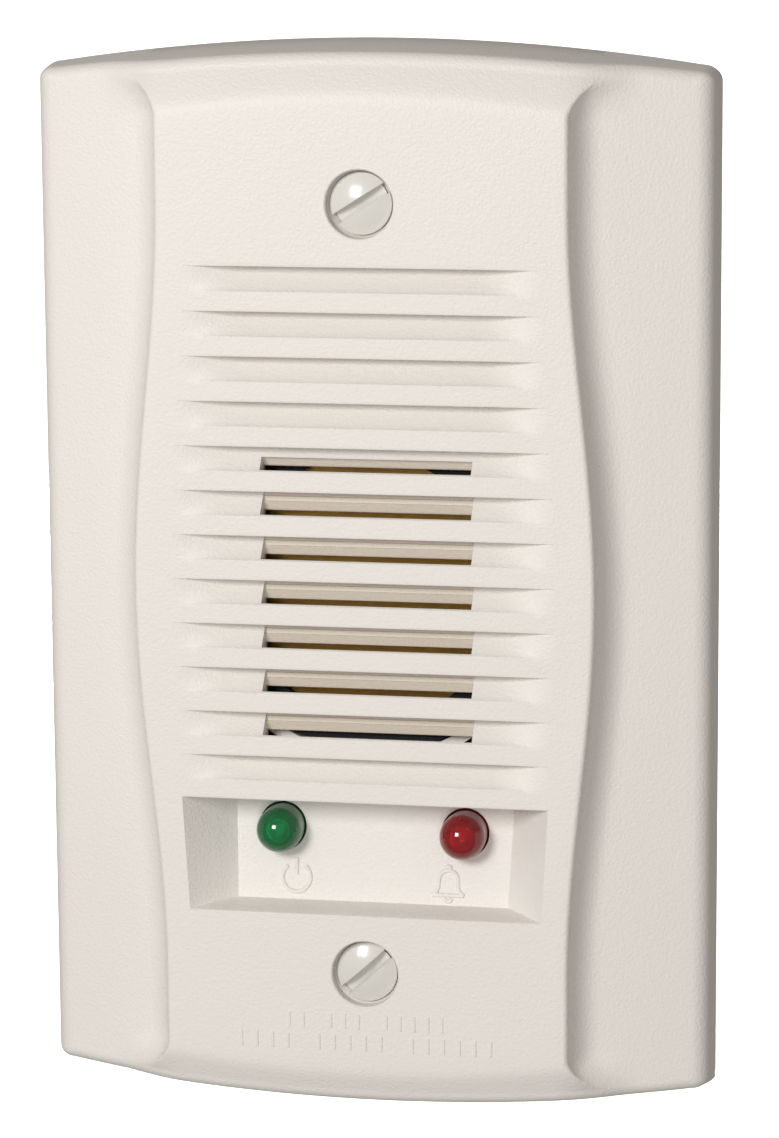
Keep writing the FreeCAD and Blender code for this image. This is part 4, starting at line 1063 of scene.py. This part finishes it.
def slot_cutter(centre, radius, low, tilt, deep=1.45, wide=0.6):
    """A straight driver slot across the head, turned by tilt degrees from level."""
    half = radius + 1
    x, y, z = [-half, half], [low - 1, low + deep], [-wide, wide]
    corner = np.array([(i, j, k) for i in x for j in y for k in z], float)
    c, s = math.cos(math.radians(tilt)), math.sin(math.radians(tilt))
    points = np.stack([centre[0] + corner[:, 0] * c - corner[:, 2] * s, corner[:, 1],
                       centre[1] + corner[:, 0] * s + corner[:, 2] * c], -1)
    faces = [(0, 1, 3, 2), (4, 6, 7, 5), (0, 4, 5, 1), (2, 3, 7, 6), (0, 2, 6, 4), (1, 5, 7, 3)]
    return points, faces


class SOUNDER_OT_screws(bpy.types.Operator):
    """Two oval-head slotted mounting screws with rolled threads"""
    bl_idname = "sounder.screws"
    bl_label = "Mounting screws"

    def execute(self, context):
        for (name, centre, radius, low, high), tilt in zip(screw_places(), (32, 42)):
            mesh = make_mesh(name + "_body", *screw_body(centre, radius, low, high), 35.0)
            mesh = carve(mesh, [slot_cutter(centre, radius, low, tilt)], 35.0)
            piece = add_piece(name + "_body", mesh, name, "painted_steel", name)
            soft = piece.modifiers.new("edge_round", "BEVEL")
            soft.width = 0.00006
            soft.segments = 2
            soft.limit_method = "ANGLE"
            soft.angle_limit = math.radians(50)
        return {"FINISHED"}


# ---------------------------------------------------------------- carried-over parts
class SOUNDER_OT_finishes(bpy.types.Operator):
    """Gives every CAD part that stays in view the finish of its slot"""
    bl_idname = "sounder.finishes"
    bl_label = "Finishes"

    def execute(self, context):
        slot_of = {part["node"]: part["material_slot"] for part in frame["record"]["subparts"]}
        replaced = {"front_cover", "power_lamp", "alarm_lamp", "upper_mounting_screw",
                    "lower_mounting_screw"}
        for name, slot in slot_of.items():
            if name in replaced:
                continue
            part = bpy.data.objects[name]
            part.data.materials.clear()
            part.data.materials.append(finish_of(slot))
        return {"FINISHED"}


# ---------------------------------------------------------------- stage
def soft_light(name, place, aim, size, power, tint=(1.0, 1.0, 1.0), glossy=True):
    """A rectangular soft box at a place, turned to face the aim."""
    lamp = bpy.data.lights.new(name, "AREA")
    lamp.shape = "RECTANGLE"
    lamp.size, lamp.size_y = size
    lamp.energy = power
    lamp.color = tint
    holder = link_new(name, lamp)
    turn = (Vector(aim) - Vector(place)).to_track_quat("-Z", "Y").to_matrix().to_4x4()
    holder.matrix_world = Matrix.Translation(place) @ turn
    holder.visible_glossy = glossy
    return holder


def around(azimuth, elevation, distance):
    """A place at a distance, measured round from the front (-Y) towards +X and upwards."""
    a, e = math.radians(azimuth), math.radians(elevation)
    return Vector((math.sin(a) * math.cos(e), -math.cos(a) * math.cos(e), math.sin(e))) * distance


def add_camera():
    """Long-lens camera a little to the right of and above the plate's axis."""
    scene = bpy.context.scene
    lens = bpy.data.cameras.new("camera")
    lens.lens = 136.03
    lens.sensor_width = 36.0
    lens.sensor_fit = "AUTO"
    lens.clip_start = 0.01
    lens.clip_end = 50.0
    camera = link_new("camera", lens)
    azimuth, elevation, roll = 11.066, 10.68, -0.40
    place = Vector((0.089, -0.451, 0.0875))
    back = around(azimuth, elevation, 1.0)
    right = Vector((math.cos(math.radians(azimuth)), math.sin(math.radians(azimuth)), 0.0))
    up = back.cross(right)
    c, s = math.cos(math.radians(roll)), math.sin(math.radians(roll))
    across, above = c * right + s * up, -s * right + c * up
    turn = Matrix((across, above, back)).transposed()
    camera.matrix_world = Matrix.Translation(place) @ turn.to_4x4()
    scene.camera = camera


def add_floor():
    """A wide pale floor, well below the plate."""
    level = -HALF_TALL * MM - sizes().floor_drop
    reach = np.linspace(-12.0, 12.0, 9)
    x, y = np.meshgrid(reach, reach, indexing="ij")
    points = np.stack([x, y, 0 * x + level], -1).reshape(-1, 3) / MM
    mesh = make_mesh("floor", points, grid_quads(9, 9))
    floor = link_new("floor", mesh)
    material, tree, place = new_material("painted_floor")
    base = tone("floor")
    add_surface(tree, {"Roughness": 0.9, "Specular IOR Level": 0.1},
                {"Base Color": add_tones(tree, dimmed(base, 0.99), base,
                                         add_noise(tree, place, 3.0, 3.0))})
    mesh.materials.append(material)
    floor.visible_diffuse = False
    floor.visible_glossy = False
    return floor


class SOUNDER_OT_stage(bpy.types.Operator):
    """Pale floor, soft studio lights and the camera"""
    bl_idname = "sounder.stage"
    bl_label = "Stage"

    def execute(self, context):
        scene = context.scene
        world = bpy.data.worlds.new("studio")
        scene.world = world
        world.use_nodes = True
        tree = world.node_tree
        tree.nodes.clear()
        sky = add_node(tree, "ShaderNodeBackground", {"Color": (1.0, 0.95, 0.885, 1.0),
                                                      "Strength": 0.275})
        add_node(tree, "ShaderNodeOutputWorld", links={"Surface": (sky, "Background")})
        plate = (0, 0, 0)
        soft_light("key", around(-19, 21, 0.5), plate, (0.15, 0.15), 1.36, (1.0, 0.985, 0.965))
        soft_light("low_fill", around(8, -7.5, 0.75), plate, (0.3, 0.1), 1.7, glossy=False)
        soft_light("rear_light", around(205, -4, 0.8), plate, (0.4, 0.1), 2.2, glossy=False)
        backdrop = soft_light("backdrop", (0, 1.0, 0.8), (0, 1.0, 0), (18.0, 18.0), 1450.0)
        lit = bpy.data.collections.new("lit_by_backdrop")
        lit.objects.link(add_floor())
        backdrop.light_linking.receiver_collection = lit
        scene.view_settings.view_transform = "Standard"
        scene.view_settings.look = "None"
        add_camera()
        return {"FINISHED"}


# ---------------------------------------------------------------- add-on
class SOUNDER_PT_panel(bpy.types.Panel):
    """Sidebar panel with every size, colour and build step"""
    bl_idname = "SOUNDER_PT_panel"
    bl_label = "Alarm sounder"
    bl_space_type = "VIEW_3D"
    bl_region_type = "UI"
    bl_category = "Sounder"

    def draw(self, context):
        for group in (context.scene.sounder_colours, context.scene.sounder_sizes):
            for name in group.__annotations__:
                self.layout.prop(group, name)
        for step in STEPS:
            self.layout.operator(step.bl_idname)


STEPS = (SOUNDER_OT_cover, SOUNDER_OT_markings, SOUNDER_OT_lamps, SOUNDER_OT_screws,
         SOUNDER_OT_finishes, SOUNDER_OT_stage)
CLASSES = (SounderColours, SounderSizes) + STEPS + (SOUNDER_PT_panel,)


def register():
    for kind in CLASSES:
        bpy.utils.register_class(kind)
    bpy.types.Scene.sounder_colours = bpy.props.PointerProperty(type=SounderColours)
    bpy.types.Scene.sounder_sizes = bpy.props.PointerProperty(type=SounderSizes)


def unregister():
    del bpy.types.Scene.sounder_sizes
    del bpy.types.Scene.sounder_colours
    for kind in reversed(CLASSES):
        bpy.utils.unregister_class(kind)


def main():
    """Registers the add-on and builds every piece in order."""
    register()
    bpy.ops.sounder.cover()
    bpy.ops.sounder.markings()
    bpy.ops.sounder.lamps()
    bpy.ops.sounder.screws()
    bpy.ops.sounder.finishes()
    bpy.ops.sounder.stage()


if __name__ == "__main__":
    main()
